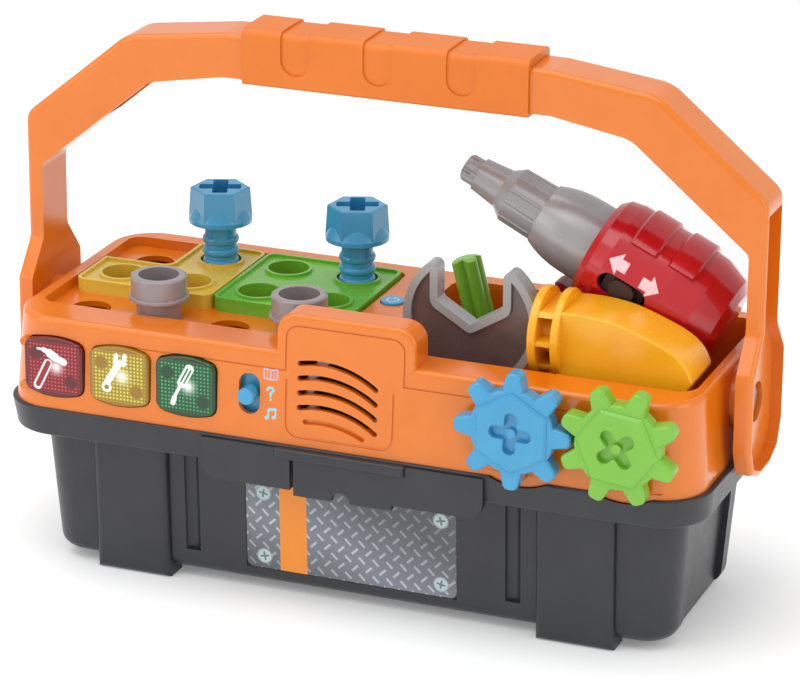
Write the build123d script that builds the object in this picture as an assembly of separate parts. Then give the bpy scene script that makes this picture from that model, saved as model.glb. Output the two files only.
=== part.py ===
from build123d import *
import math
import os

# Toy tool box: a black tub with an orange top that holds a peg tray on the left and a bin of
# loose tools on the right, under a swinging carrying handle. Lengths are millimetres.
# +X runs along the length to the right, the front faces -Y, +Z is up. Pieces are drawn about
# the handle's plane, and at the end the origin is set on the floor under the middle of the box.

# Running allowances
overrun = 4.0
slide_gap = 0.35
fit_gap = 0.2
running_gap = 0.08
seat_gap = 0.25
press_gap = 0.03

# Tub and flange
flange_half_length = 155.3
flange_half_depth = 64.5
flange_corner = 22.0
flange_top = 76.0
flange_height = 12.6
flange_draft = 1.6
flange_low_round = 1.2
flange_wall = 2.4
web_thickness = 2.4
tub_half_length_top = 144.5
tub_half_depth_top = 49.0
tub_half_length_bottom = 139.0
tub_half_depth_bottom = 46.0
tub_corner = 14.0
tub_bottom = 4.0
tub_wall = 2.2
tub_floor = 2.5
tub_edge_round = 6.0
end_recess = 2.6
end_recess_half_width = 27.0
foot_centre = 99.4
foot_width = 34.2
foot_front_bottom = 48.9
foot_front_top = 52.4
foot_inner = 36.0
foot_round = 3.0
groove_centre = 72.0
groove_radius = 3.6
groove_sink = 2.2
groove_low = 14.0
groove_high = 58.0

# Moulded latch front on the flange
apron_centre = 2.7
tab_out = 1.2
tab_inner = 22.3
tab_outer = 62.3
tab_low = 57.0
tab_round = 7.0
latch_out = 0.5
latch_low = 54.5
latch_gap = 1.4
lip_half_length = 28.5
lip_height = 4.6
lip_low = 70.6
lip_out = 3.0
lip_round = 1.2
notch_radius = 4.2

# Label plate on the front
label_half_length = 47.2
label_low = 11.0
label_high = 57.0
label_thickness = 0.6
label_pocket = 0.8
label_corner = 3.0

# Orange top housing
rim_top = 115.4
rim_half_length = 150.0
rim_half_depth = 60.5
foot_half_length = 152.8
foot_half_depth = 62.9
housing_corner = 20.0
housing_wall = 2.4
deck_thickness = 2.5
rim_round = 2.4
groove_drop = 7.4
groove_width = 0.7
groove_depth = 0.5

# Raised speaker panel
panel_left = -27.6
panel_right = 33.6
panel_top = 131.8
panel_back = 46.5
panel_corner = 8.0
panel_round = 1.8
frame_groove_left = -23.0
frame_groove_right = 25.2
frame_groove_low = 79.2
frame_groove_high = 110.0
frame_groove_width = 1.1
frame_corner = 6.0
panel_line_inset = 4.3

# Speaker grille
grille_x = -7.5
grille_first_z = 112.4
grille_pitch = 6.3
grille_rows = 4
grille_arc_radius = 41.0
grille_slot_width = 2.3
grille_left_angle = 13.0
grille_right_angle = 36.0
grille_blind_left = 9.0
grille_blind_right = 27.0
grille_blind_depth = 0.9

# Speaker
speaker_z = 98.5
speaker_radius = 19.0
speaker_ring_width = 3.6
speaker_seat_y = 56.6
speaker_flange = 1.6
speaker_basket_depth = 5.0
speaker_basket_radius = 11.5
speaker_magnet_radius = 10.0
speaker_magnet_depth = 3.4
speaker_sheet = 0.8
speaker_cap_radius = 5.0

# Lit buttons
button_first_x = -127.7
button_pitch = 30.25
button_count = 3
button_z = 94.6
button_width = 27.0
button_side_height = 21.0
button_crown = 2.6
button_corner = 4.0
button_front = 63.6
button_plate = 2.2
button_skirt = 1.6
button_travel = 2.3
button_back = 53.8
button_dome = 1.0
button_post_radius = 2.6
button_post_x = 7.6
button_post_z = 5.6
button_post_end = 52.2
button_stop_z = 3.0

# Mode slider
slider_x = -39.0
slider_z = 95.4
slot_width = 9.4
slot_height = 17.6
slider_knob_radius = 3.6
slider_knob_front = 66.2
slider_base_front = 58.0
slider_base_back = 55.0
slider_base_half_width = 7.4
slider_base_half_height = 13.0
slider_travel = 3.6
slider_slot_gap = 0.4

# Circuit board and what sits on it
board_front = 48.6
board_thickness = 1.6
board_left = -145.4
board_right = -22.5
board_low = 80.5
board_high = 106.5
board_post_radius = 2.0
board_post_inset_x = 2.6
board_post_inset_z = 3.4
lamp_radius = 2.2
lamp_length = 3.0
switch_side = 6.0
switch_height = 1.4
mode_switch_width = 9.0
mode_switch_height = 22.0
mode_stem = 1.6

# Power button and its switch
power_x = -5.2
power_y = 13.0
power_radius = 5.2
power_proud = 0.9
power_length = 6.2
power_travel = 1.5
power_lug_half_width = 4.2
power_lug_half_length = 7.6
power_lug = 1.4
power_switch_half = 4.5
power_switch_height = 6.0
power_bracket_thickness = 1.8
power_post_radius = 1.6

# Peg tray
tray_first_x = -125.2
tray_front_y = -31.75
peg_pitch = 32.0
peg_columns = 4
peg_rows = 3
peg_hole_radius = 8.7
tray_floor_z = 111.1
tray_floor = 2.5
tray_wall = 1.6
tray_left = -143.6
tray_right = -12.4
tray_front = -42.0
tray_back = 50.4
tray_corner = 6.0
liner_floor_z = 96.4
liner_floor = 1.8

# Peg plates
plate_thickness = 6.1
plate_gap = 0.45
plate_corner = 4.5
plate_rim = 1.5
plate_sink = 1.2
plate_hole_radius = 8.9
plate_ring_width = 1.4

# Bolts
bolt_head_top = 150.0
bolt_hex_radius = 12.9
bolt_hex_low_radius = 13.8
bolt_flare_radius = 11.6
bolt_flare_height = 5.0
bolt_edge_round = 0.8
bolt_hex_low = 136.4
bolt_skirt_radius = 13.8
bolt_skirt_low = 134.6
bolt_neck_z = 131.8
bolt_shaft_radius = 6.9
bolt_ridge_radius = 8.0
bolt_ridge_pitch = 5.2
bolt_ridge_height = 3.6
bolt_ridges = 4
bolt_ridge_first = 126.6
bolt_end = 99.0
bolt_turn = 21.5
bolt_cross_half = 9.1
bolt_cross_width = 6.6
bolt_cross_round = 1.2
bolt_cross_depth = 9.0
bolt_key_width = 6.4
bolt_key_front = 7.7
bolt_flat = 5.2

# Nails
nail_height = 19.4
nail_ring_radius = 11.85
nail_ring_height = 8.6
nail_bead_radius = 12.75
nail_bead_height = 1.8
nail_body_top_radius = 10.1
nail_body_low_radius = 9.3
nail_bore_radius = 8.6
nail_bore_depth = 14.0
nail_spigot_radius = 8.2
nail_spigot_length = 6.0
nail_round = 1.0

# Tool bin
bin_left = 10.0
bin_right = 145.0
bin_front = -42.5
bin_back = 50.4
bin_wall = 2.0
bin_step_z = 78.0
bin_low_right = 129.0
bin_low_front = -40.6
bin_low_back = 41.4
bin_floor_z = 32.0
bin_corner = 8.0

# Gears on the front
gear_x = 79.4
gear_spacing = 44.2
gear_z = 99.9
gear_teeth = 8
gear_tip_radius = 24.9
gear_root_radius = 18.0
gear_tooth_base_half = 4.4
gear_tooth_tip_half = 2.9
gear_tip_round = 2.6
gear_edge_round = 1.5
gear_back = 66.4
gear_thickness = 7.2
gear_hex_radius = 17.3
gear_hex_height = 1.3
gear_hex_bevel = 1.0
gear_lobe_radius = 2.8
gear_lobe_reach = 6.2
gear_lobe_depth = 2.6
gear_dot_radius = 2.0
gear_bore_radius = 3.4
gear_bore_depth = 5.0
gear_boss_radius = 7.5
axle_inner_y = 54.0
axle_clip_radius = 5.2
axle_clip = 2.0
blue_gear_turn = -0.7
scallop_radius = 27.0
blue_cross_turn = -2.0
green_cross_turn = 14.0

# Handle
pivot_z = 99.0
arm_outer = 164.0
arm_inner = 156.8
blade_half = 23.6
blade_low = 69.0
blade_low_half = 7.0
blade_side_low = 85.0
blade_turn_half = 18.5
blade_turn_z = 73.5
blade_top = 117.0
neck_low = 132.0
bar_half_depth = 11.6
bar_top = 232.0
bar_low = 213.2
bar_flat_half = 72.0
shoulder_x = 116.5
shoulder_z = 226.4
elbow_x = arm_outer
elbow_z = 187.0
inner_shoulder_x = 106.0
inner_shoulder_z = 207.2
inner_elbow_z = 165.0
handle_base_z = 150.0
elbow_bend = 8.0
shoulder_bend = 18.0
inner_bend = 4.0
inner_shoulder_bend = 14.0
bar_round = 2.4
bar_wall = 3.0
channel_low = 189.0
arm_rim = 2.6
arm_floor = 2.4
pocket_top_z = 184.0
hub_radius = 12.5
hub_inner = 152.6
hub_pit_radius = 8.5
hub_floor = 2.2
arm_corner_round = 5.0
end_boss_radius = 11.5
end_boss_face = 152.3
pivot_radius = 4.0
pivot_head_radius = 6.6
pivot_head = 2.4
pivot_nut_radius = 5.0
pivot_nut = 1.0

# Handle grip
grip_half_length = 62.8
grip_half_depth = 13.0
grip_top = 235.6
grip_low = 211.6
grip_plate = 1.5
grip_gap = 0.12
grip_round = 3.2
grip_band_shares = (-0.62, -0.04, 0.54)
grip_band_width = 13.0
grip_band_depth = 0.9
grip_band_low = 217.5
grip_tongue = 3.0

# Batteries below the bin
battery_radius = 7.25
battery_length = 50.5
battery_pitch = 16.2
battery_count = 3
battery_first_x = 48.6
battery_z = 17.2
battery_nub_radius = 2.7
battery_nub = 1.2
case_left = 38.6
case_right = 102.4
case_half_depth = 28.4
case_wall = 1.8
case_top = 27.6
contact_width = 9.0
contact_thickness = 0.8
door_thickness = 2.2
door_rib = 1.6
door_screw_x = 95.4
door_boss_radius = 4.2
screw_radius = 1.5
screw_head_radius = 2.8
screw_head = 1.8
screw_length = 10.0

# Screws that hold the tub to the top
join_screw_y = 57.0
join_screw_front_shares = (-0.86, -0.35, 0.33, 0.665)
join_screw_back_shares = (-0.86, -0.3, 0.33, 0.86)
join_post_radius = 4.4
join_post_height = 5.6

# Wrench
wrench_x = 43.2
wrench_z = 125.8
wrench_radius = 29.4
wrench_front = -24.0
wrench_thickness = 8.4
wrench_jaw_half = 14.3
wrench_jaw_corner_z = 132.6
wrench_jaw_apex_z = 124.0
wrench_jaw_round = 2.0
wrench_tip_round = 3.0
wrench_rim = 3.4
wrench_sink = 1.6
wrench_stem_half = 10.0
wrench_stem_round = 6.0
wrench_neck_round = 9.0

# Hammer
hammer_y = -23.0
hammer_z = 126.3
hammer_radius = 18.6
hammer_face_x = 73.8
hammer_face = 3.6
hammer_neck = 6.2
hammer_core_radius = 9.0
hammer_rib = 2.0
hammer_rib_drop = 11.3
hammer_ring = 3.4
hammer_edge_round = 0.9
claw_front = -36.4
claw_back = -9.4
claw_top = 139.2
claw_crown = (98.0, 139.4)
claw_bend = (110.5, 137.6)
claw_slope = (124.0, 133.0)
claw_shoulder = (136.4, 126.6)
claw_tip = (142.6, 116.6)
claw_hook = (136.0, 106.0)
claw_root_x = 108.5
claw_round = 2.4
hammer_handle_x = 96.0
hammer_handle_y = -21.6
hammer_handle_radius = 8.8
hammer_handle_top = 108.0
hammer_spigot_radius = 5.5
hammer_spigot_top = 122.0
hammer_waist_radius = 7.2

# Screwdriver
driver_tip_x = 20.3
driver_y = 32.4
driver_tip_z = 132.6
driver_lean = 14.7
driver_shaft_radius = 6.0
driver_lobe_radius = 2.9
driver_lobe_reach = 3.9
driver_shaft_length = 46.0
driver_tang_radius = 4.0
driver_tang = 12.0
driver_length = 101.0
driver_handle_radius = 8.5
driver_collar_radius = 7.6
driver_collar = 5.0
driver_flutes = 6
driver_flute_radius = 2.4
driver_flute_sink = 1.2
driver_round = 3.0

# Drill
drill_x = 84.15
drill_y = 16.9
drill_z = 150.6
drill_pitch_angle = 25.4
drill_body_length = 63.2
drill_body_radius = 24.8
drill_rim_radius = 20.8
drill_shoulder = (3.0, 23.5)
drill_crest_from = 9.0
drill_crest_to = 36.0
drill_waist = (50.0, 23.6)
drill_tail = (60.4, 19.6)
drill_rear_face_radius = 15.0
drill_shell_wall = 2.2
drill_mouth_radius = 17.6
chuck_base_radius = 17.3
chuck_bell_stations = ((9.0, 17.2), (15.5, 16.6), (21.0, 15.3))
chuck_cone_radius = 13.4
chuck_cone_length = 26.0
chuck_flute_radius = 12.6
chuck_flute_end = 41.5
chuck_flute_front_radius = 12.2
chuck_shoulder_end = 46.2
chuck_collar_radius = 8.7
chuck_collar_front_radius = 7.3
chuck_collar_end = 58.0
chuck_inset = 4.0
chuck_base_land = 3.0
chuck_flutes = 12
chuck_flute_cut = 1.0
chuck_flute_sink = 0.45
bit_end = 65.0
bit_lobe_radius = 2.6
bit_lobe_reach = 3.7
bit_tang_radius = 4.8
bit_root = 50.0
bit_socket_radius = 5.0
spindle_radius = 3.0
spindle_end = 40.0
spindle_root = 18.0
spindle_gear_radius = 9.0
spindle_gear_from = 19.0
spindle_gear_width = 7.0
bearing_plate = 2.0
bearing_first = 4.8
bearing_second = 34.2
grip_front_top = 2.6
grip_rear_top = 30.0
grip_top_z = -10.0
grip_front_low = 24.0
grip_rear_low = 49.0
grip_low_z = -107.7
drill_grip_half = 9.6
drill_grip_round = 5.0
trigger_top = -21.0
trigger_low = -39.0
trigger_front = -8.5
trigger_back = 11.5
trigger_half = 4.8
trigger_round = 2.6
trigger_travel = 4.0
trigger_scoop = 1.8
trigger_scoop_radius = 16.0
direction_from = 9.5
direction_to = 31.5
direction_z = -0.6
direction_slot_half = 4.6
direction_half = 3.9
direction_half_length = 5.6
direction_out = 0.4
direction_travel = 4.2
direction_base = 1.6
direction_base_spare = 3.4
shell_screw_radius = 1.3
shell_screw_head_radius = 2.4
shell_screw_head = 1.6
shell_screw_seat = 4.6
shell_screw_end = -5.0
shell_boss_radius = 3.8
shell_screw_low_share = 0.86
shell_screw_mid_share = 0.5
shell_screw_rear_x = 50.0
shell_screw_rear_z = 6.0
rib_panel_from = 13.5
rib_panel_ribs = 2
rib_panel_pitch = 18.0
rib_panel_rib = 12.6
rib_panel_out = 1.4
rib_panel_angle = 46.0
vent_from = 47.0
vent_pitch = 3.2
vent_width = 1.5
vent_count = 3
vent_half_height = 7.5


def block(x0, x1, y0, y1, z0, z1):
    """Box between six planes."""
    centre = Pos((x0 + x1) / 2, (y0 + y1) / 2, (z0 + z1) / 2)
    return centre * Box(x1 - x0, y1 - y0, z1 - z0)


def rounded_block(x0, x1, y0, y1, z0, z1, corner):
    """Box with rounded upright corners."""
    face = Pos((x0 + x1) / 2, (y0 + y1) / 2, z0) * RectangleRounded(x1 - x0, y1 - y0, corner)
    return extrude(face, z1 - z0)


def rod(start, end, radius):
    """Round bar between two points."""
    line = Vector(*end) - Vector(*start)
    plane = Plane(origin=Vector(*start), z_dir=line)
    return extrude(plane * Circle(radius), line.length)


def tapered(half_x0, half_y0, z0, half_x1, half_y1, z1, corner):
    """Rounded rectangle that grows evenly from one level to another."""
    low = Pos(0, 0, z0) * RectangleRounded(2 * half_x0, 2 * half_y0, corner)
    high = Pos(0, 0, z1) * RectangleRounded(2 * half_x1, 2 * half_y1, corner)
    return loft([low.face(), high.face()], ruled=True)


def prism_xz(points, y0, y1):
    """Outline in the XZ plane, given depth from y0 to y1."""
    corners = [(x, 0, z) for x, z in points]
    face = make_face(Polyline(*corners, close=True))
    return Pos(0, y0, 0) * extrude(face, y1 - y0, dir=(0, 1, 0))


def prism_yz(points, x0, x1):
    """Outline in the YZ plane, given length from x0 to x1."""
    corners = [(0, y, z) for y, z in points]
    face = make_face(Polyline(*corners, close=True))
    return Pos(x0, 0, 0) * extrude(face, x1 - x0, dir=(1, 0, 0))


def face_xz(outline, y0, y1):
    """Flat outline drawn in X and Z as seen from the front, given depth from y0 to y1."""
    upright = Plane(origin=(0, y1, 0), x_dir=(1, 0, 0), z_dir=(0, -1, 0))
    return extrude(upright * outline, y1 - y0)


def mix(low, high, share):
    return low + (high - low) * share


def tub_share(z):
    return (z - tub_bottom) / (flange_top - tub_bottom)


def tub_front(z):
    """Half depth of the tub's outer wall at a level."""
    return mix(tub_half_depth_bottom, tub_half_depth_top, tub_share(z))


def tub_end(z):
    return mix(tub_half_length_bottom, tub_half_length_top, tub_share(z))


def housing_share(z):
    return (z - flange_top) / (rim_top - flange_top)


def housing_front(z):
    return mix(foot_half_depth, rim_half_depth, housing_share(z))


def housing_end(z):
    return mix(foot_half_length, rim_half_length, housing_share(z))


def front_slab(x0, x1, z0, z1, inner, outer):
    """Slab that lies along the tub's sloping front wall, from inner to outer of its face."""
    points = [(-tub_front(z0) - outer, z0), (-tub_front(z1) - outer, z1),
              (-tub_front(z1) + inner, z1), (-tub_front(z0) + inner, z0)]
    return prism_yz(points, x0, x1)


# Places that several pieces share
gear_centres = [gear_x, gear_x + gear_spacing]
button_centres = [button_first_x + i * button_pitch for i in range(button_count)]
peg_x = [tray_first_x + i * peg_pitch for i in range(peg_columns)]
peg_y = [tray_front_y + j * peg_pitch for j in range(peg_rows)]
join_places = [(s * rim_half_length, -join_screw_y) for s in join_screw_front_shares]
join_places += [(s * rim_half_length, join_screw_y) for s in join_screw_back_shares]
plate_top = tray_floor_z + plate_thickness
deck_under = rim_top - deck_thickness
web_under = flange_top - web_thickness
board_back = board_front - board_thickness
tub_floor_top = tub_bottom + tub_floor
bin_floor_under = bin_floor_z - bin_wall
battery_x = [battery_first_x + i * battery_pitch for i in range(battery_count)]
door_opening_left = case_left + case_wall
door_opening_right = case_right - case_wall
door_opening_half = case_half_depth - case_wall


def base_tub():
    body = tapered(tub_end(tub_bottom), tub_front(tub_bottom), tub_bottom,
                   tub_end(flange_top), tub_front(flange_top), flange_top, tub_corner)
    body = fillet(body.faces().sort_by(Axis.Z)[0].edges(), tub_edge_round)
    for side in (-1, 1):
        outline = [(side * (tub_end(0) - end_recess), 0), (side * (tub_end(web_under) - end_recess), web_under),
                   (side * flange_half_length, web_under), (side * flange_half_length, 0)]
        body -= prism_xz(outline, -end_recess_half_width, end_recess_half_width)
    for side in (-1, 1):
        outline = [(side * foot_front_bottom, 0), (side * foot_front_top, web_under),
                   (side * foot_inner, web_under), (side * foot_inner, 0)]
        for centre in (-foot_centre, foot_centre):
            foot = prism_yz(outline, centre - foot_width / 2, centre + foot_width / 2)
            front_face = foot.faces().sort_by(Axis.Y)[0 if side < 0 else -1]
            foot = fillet(front_face.edges(), foot_round)
            body += foot
    skirt = tapered(flange_half_length - flange_draft, flange_half_depth - flange_draft,
                    flange_top - flange_height, flange_half_length, flange_half_depth, flange_top,
                    flange_corner)
    skirt = fillet(skirt.faces().sort_by(Axis.Z)[-1].edges(), flange_wall / 3)
    skirt = fillet(skirt.faces().sort_by(Axis.Z)[0].edges(), flange_low_round)
    inside_length = flange_half_length - flange_draft - flange_wall
    inside_depth = flange_half_depth - flange_draft - flange_wall
    skirt -= rounded_block(-inside_length, inside_length, -inside_depth, inside_depth,
                           flange_top - flange_height, web_under, flange_corner - flange_wall)
    body += skirt
    body += latch_front()
    body -= tapered(tub_end(tub_floor_top) - end_recess - tub_wall,
                    tub_front(tub_floor_top) - tub_wall, tub_floor_top,
                    tub_end(flange_top) - end_recess - tub_wall,
                    tub_front(flange_top) - tub_wall, flange_top + overrun, tub_corner - tub_wall)
    for x in gear_centres:
        body -= rod((x, -flange_half_depth - overrun, gear_z), (x, -foot_half_depth + housing_wall, gear_z),
                    scallop_radius)
    for x in (-groove_centre, groove_centre):
        low_y = -tub_front(groove_low) - groove_radius + groove_sink
        high_y = -tub_front(groove_high) - groove_radius + groove_sink
        body -= rod((x, low_y, groove_low), (x, high_y, groove_high), groove_radius)
    body -= front_slab(-label_half_length - fit_gap, label_half_length + fit_gap,
                       label_low - fit_gap, label_high + fit_gap, label_pocket, overrun)
    for x, y in join_places:
        body -= rod((x, y, web_under - overrun), (x, y, flange_top + overrun), screw_radius)
    body -= block(door_opening_left, door_opening_right, -door_opening_half, door_opening_half,
                  0, tub_floor_top + overrun)
    return body


def latch_front():
    """Latch-like apron moulded on the front of the flange."""
    front = -flange_half_depth
    back = front + flange_draft + flange_wall / 2
    parts = []
    for side in (-1, 1):
        ends = sorted((apron_centre + side * tab_inner, apron_centre + side * tab_outer))
        tab = block(ends[0], ends[1], front - tab_out, back, tab_low, flange_top - lip_round)
        low_edges = tab.edges().filter_by(Axis.Y).group_by(Axis.Z)[0]
        tab = fillet(low_edges.sort_by(Axis.X)[0 if side < 0 else -1], tab_round)
        parts.append(tab)
    panel = block(apron_centre - tab_inner + latch_gap, apron_centre + tab_inner, front - latch_out,
                  back, latch_low, flange_top - lip_round)
    panel -= rod((apron_centre, front - overrun, latch_low), (apron_centre, back + overrun, latch_low),
                 notch_radius)
    lip = block(apron_centre - lip_half_length, apron_centre + lip_half_length, front - lip_out,
                back, lip_low, lip_low + lip_height)
    lip = fillet(lip.faces().sort_by(Axis.Y)[0].edges(), lip_round)
    parts.append(panel)
    parts.append(lip)
    apron = parts[0]
    for piece in parts[1:]:
        apron += piece
    return apron


def label_plate():
    plate = front_slab(-label_half_length, label_half_length, label_low, label_high,
                       label_pocket, label_thickness - label_pocket)
    upright = plate.edges().filter_by(lambda e: e.length < label_thickness + fit_gap)
    return fillet(upright, label_corner)


def arc_slot(centre_x, centre_z, radius, width, from_angle, to_angle):
    """Bent slot with round ends, drawn in X and Z."""
    start = (centre_x + radius * math.cos(math.radians(from_angle)),
             centre_z + radius * math.sin(math.radians(from_angle)))
    end = (centre_x + radius * math.cos(math.radians(to_angle)),
           centre_z + radius * math.sin(math.radians(to_angle)))
    ring = Pos(centre_x, centre_z) * (Circle(radius + width / 2) - Circle(radius - width / 2))
    reach = radius + width + radius
    corners = [(centre_x, centre_z)]
    for angle in (math.radians(from_angle), math.radians(to_angle)):
        corners.append((centre_x + reach * math.cos(angle), centre_z + reach * math.sin(angle)))
    wedge = make_face(Polyline(*corners, close=True))
    slot = ring & wedge
    slot += Pos(*start) * Circle(width / 2)
    slot += Pos(*end) * Circle(width / 2)
    return slot


def button_outline(gap):
    """Barrel-shaped button opening, drawn about its own centre in X and Z."""
    half = button_width / 2 + gap
    side = button_side_height / 2 + gap
    crown = side + button_crown
    edges = [Line((-half, -side), (-half, side)), ThreePointArc((-half, side), (0, crown), (half, side)),
             Line((half, side), (half, -side)), ThreePointArc((half, -side), (0, -crown), (-half, -side))]
    face = make_face(edges)
    return fillet(face.vertices(), button_corner + gap)


def grille_slot(row, right_angle, left_angle):
    """Slot of one row of the grille; the rows are arcs of one radius set one under the other."""
    centre_z = grille_first_z - row * grille_pitch - grille_arc_radius
    return arc_slot(grille_x, centre_z, grille_arc_radius, grille_slot_width, 90 - right_angle, 90 + left_angle)


def profile_line():
    """Fine line that follows the rim and the speaker panel a little below their edge."""
    line_z = rim_top - groove_drop
    left = panel_left + panel_line_inset
    right = panel_right - panel_line_inset
    top = panel_top - panel_line_inset
    reach = rim_half_length - housing_corner
    wide = Pos(0, (line_z + flange_top) / 2) * Rectangle(2 * reach, line_z - flange_top)
    tall = Pos((left + right) / 2, (top + flange_top) / 2) * RectangleRounded(
        right - left, top - flange_top, frame_corner)
    region = wide + tall
    wide_inner = Pos(0, (line_z + flange_top) / 2 - groove_width) * Rectangle(2 * reach, line_z - flange_top)
    tall_inner = Pos((left + right) / 2, (top + flange_top) / 2 - groove_width) * RectangleRounded(
        right - left - 2 * groove_width, top - flange_top, frame_corner - groove_width)
    trim = Pos(0, flange_top) * Rectangle(2 * foot_half_length, 2 * groove_drop)
    return region - wide_inner - tall_inner - trim


def frame_line():
    """Groove round the grille on three sides."""
    width = frame_groove_right - frame_groove_left
    height = frame_groove_high - frame_groove_low
    centre = Pos((frame_groove_left + frame_groove_right) / 2, (frame_groove_low + frame_groove_high) / 2)
    outer = centre * RectangleRounded(width, height, frame_corner)
    inner = centre * RectangleRounded(width - 2 * frame_groove_width, height - 2 * frame_groove_width,
                                      frame_corner - frame_groove_width)
    top = Pos(0, frame_groove_high) * Rectangle(2 * foot_half_length, 2 * frame_corner)
    return outer - inner - top


def top_housing():
    tall_top = panel_top + overrun
    outer_tall = tapered(foot_half_length, foot_half_depth, flange_top, housing_end(tall_top),
                         housing_front(tall_top), tall_top, housing_corner)
    inner_tall = tapered(foot_half_length - housing_wall, foot_half_depth - housing_wall, flange_top,
                         housing_end(tall_top) - housing_wall, housing_front(tall_top) - housing_wall,
                         tall_top, housing_corner - housing_wall)
    low_band = block(-flange_half_length, flange_half_length, -flange_half_depth, flange_half_depth,
                     flange_top, rim_top)
    shell = outer_tall & low_band
    shell = fillet(shell.faces().sort_by(Axis.Z)[-1].edges(), rim_round)
    panel = block(panel_left, panel_right, -flange_half_depth, -panel_back, deck_under, panel_top) & outer_tall
    upright = panel.edges().filter_by(Axis.Y).group_by(Axis.Z)[-1]
    panel = fillet(upright, panel_corner)
    panel = fillet(panel.faces().sort_by(Axis.Y)[0].edges().group_by(Axis.Z)[-1], panel_round)
    shell += panel
    hollow = inner_tall & block(-flange_half_length, flange_half_length, -flange_half_depth,
                                flange_half_depth, flange_top, deck_under)
    hollow += inner_tall & block(panel_left + housing_wall, panel_right - housing_wall, -flange_half_depth,
                                 -panel_back - housing_wall, flange_top, panel_top - housing_wall)
    shell -= hollow
    for x in gear_centres:
        drop = rod((x, -foot_half_depth, gear_z), (x, -foot_half_depth + housing_wall, gear_z),
                   scallop_radius - fit_gap)
        shell += drop & block(x - scallop_radius, x + scallop_radius, -flange_half_depth, 0,
                              gear_z - scallop_radius, flange_top + housing_wall)
        shell += rod((x, -housing_front(gear_z) + housing_wall / 2, gear_z),
                     (x, -gear_back + seat_gap, gear_z), gear_boss_radius)
        shell -= rod((x, -gear_back - overrun, gear_z), (x, 0, gear_z), gear_bore_radius)
    for side in (-1, 1):
        shell += rod((side * (housing_end(pivot_z) - housing_wall), 0, pivot_z),
                     (side * end_boss_face, 0, pivot_z), end_boss_radius)
        shell -= rod((side * pivot_inner(), 0, pivot_z), (side * (end_boss_face + overrun), 0, pivot_z),
                     pivot_radius + press_gap)
    shell += housing_posts()
    shell -= rounded_block(tray_left, tray_right, tray_front, tray_back, deck_under - overrun,
                           rim_top + overrun, tray_corner)
    shell -= rounded_block(bin_left, bin_right, bin_front, bin_back, deck_under - overrun,
                           rim_top + overrun, bin_corner)
    shell -= rod((power_x, power_y, deck_under - overrun), (power_x, power_y, rim_top + overrun),
                 power_radius + slide_gap)
    for x in button_centres:
        opening = Pos(x, button_z) * button_outline(slide_gap)
        shell -= face_xz(opening, -flange_half_depth, button_travel - button_back)
    slot = Pos(slider_x, slider_z) * Rot(0, 0, 90) * SlotOverall(slot_height, slot_width)
    shell -= face_xz(slot, -flange_half_depth, -slider_base_front)
    for row in range(grille_rows):
        slot = grille_slot(row, grille_right_angle, grille_left_angle)
        shell -= face_xz(slot, -flange_half_depth, -speaker_seat_y)
    skin = -housing_front(speaker_z) + grille_blind_depth
    for row in (-1, grille_rows):
        blind = grille_slot(row, grille_blind_right, grille_blind_left)
        shell -= face_xz(blind, -flange_half_depth, skin)
    shell -= lined_cut(profile_line())
    shell -= lined_cut(frame_line())
    return shell


def lined_cut(outline):
    """Shallow groove that keeps one depth in the sloping front wall."""
    tall_top = panel_top + overrun
    core = tapered(foot_half_length - groove_depth, foot_half_depth - groove_depth, flange_top,
                   housing_end(tall_top) - groove_depth, housing_front(tall_top) - groove_depth,
                   tall_top, housing_corner - groove_depth)
    return face_xz(outline, -flange_half_depth, -panel_back) - core


def housing_posts():
    """Screw posts, board posts, speaker seat and power switch posts inside the top."""
    posts = None
    for x, y in join_places:
        side = 1 if y > 0 else -1
        outer = side * (housing_front(flange_top) - housing_wall / 2)
        post = rod((x, y, flange_top), (x, y, flange_top + join_post_height), join_post_radius)
        post += block(x - housing_wall, x + housing_wall, min(y, outer), max(y, outer), flange_top,
                      flange_top + join_post_height)
        post = post & block(-rim_half_length, rim_half_length, -housing_front(rim_top),
                            housing_front(rim_top), flange_top, rim_top)
        post -= rod((x, y, flange_top), (x, y, flange_top + join_post_height - housing_wall / 2), screw_radius)
        posts = post if posts is None else posts + post
    for x, z in board_corners():
        posts += rod((x, -housing_front(z) + housing_wall / 2, z), (x, -board_front, z), board_post_radius)
    seat = rod((speaker_x(), -housing_front(speaker_z) + housing_wall / 2, speaker_z),
               (speaker_x(), -speaker_seat_y, speaker_z), speaker_radius)
    seat -= rod((speaker_x(), -flange_half_depth, speaker_z), (speaker_x(), 0, speaker_z),
                speaker_radius - speaker_ring_width)
    posts += seat
    for side in (-1, 1):
        y = power_y + side * (power_lug_half_length + power_post_radius + slide_gap)
        posts += rod((power_x, y, deck_under + fit_gap), (power_x, y, power_bracket_top()), power_post_radius)
    return posts


def board_corners():
    xs = (board_left + board_post_inset_x, board_right - board_post_inset_x)
    zs = (board_low + board_post_inset_z, board_high - board_post_inset_z)
    return [(x, z) for x in xs for z in zs]


def speaker_x():
    return (panel_left + panel_right) / 2


def power_bracket_top():
    return rim_top + power_proud - power_length - power_travel - power_switch_height


def peg_tray():
    body = rounded_block(tray_left - tray_wall, tray_right + tray_wall, tray_front - tray_wall,
                         tray_back + tray_wall, tray_floor_z - tray_floor, deck_under, tray_corner + tray_wall)
    body -= rounded_block(tray_left, tray_right, tray_front, tray_back, tray_floor_z,
                          deck_under + overrun, tray_corner)
    for x in peg_x:
        for y in peg_y:
            body -= rod((x, y, tray_floor_z - tray_floor - overrun), (x, y, tray_floor_z + overrun),
                        peg_hole_radius)
    return body


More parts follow.
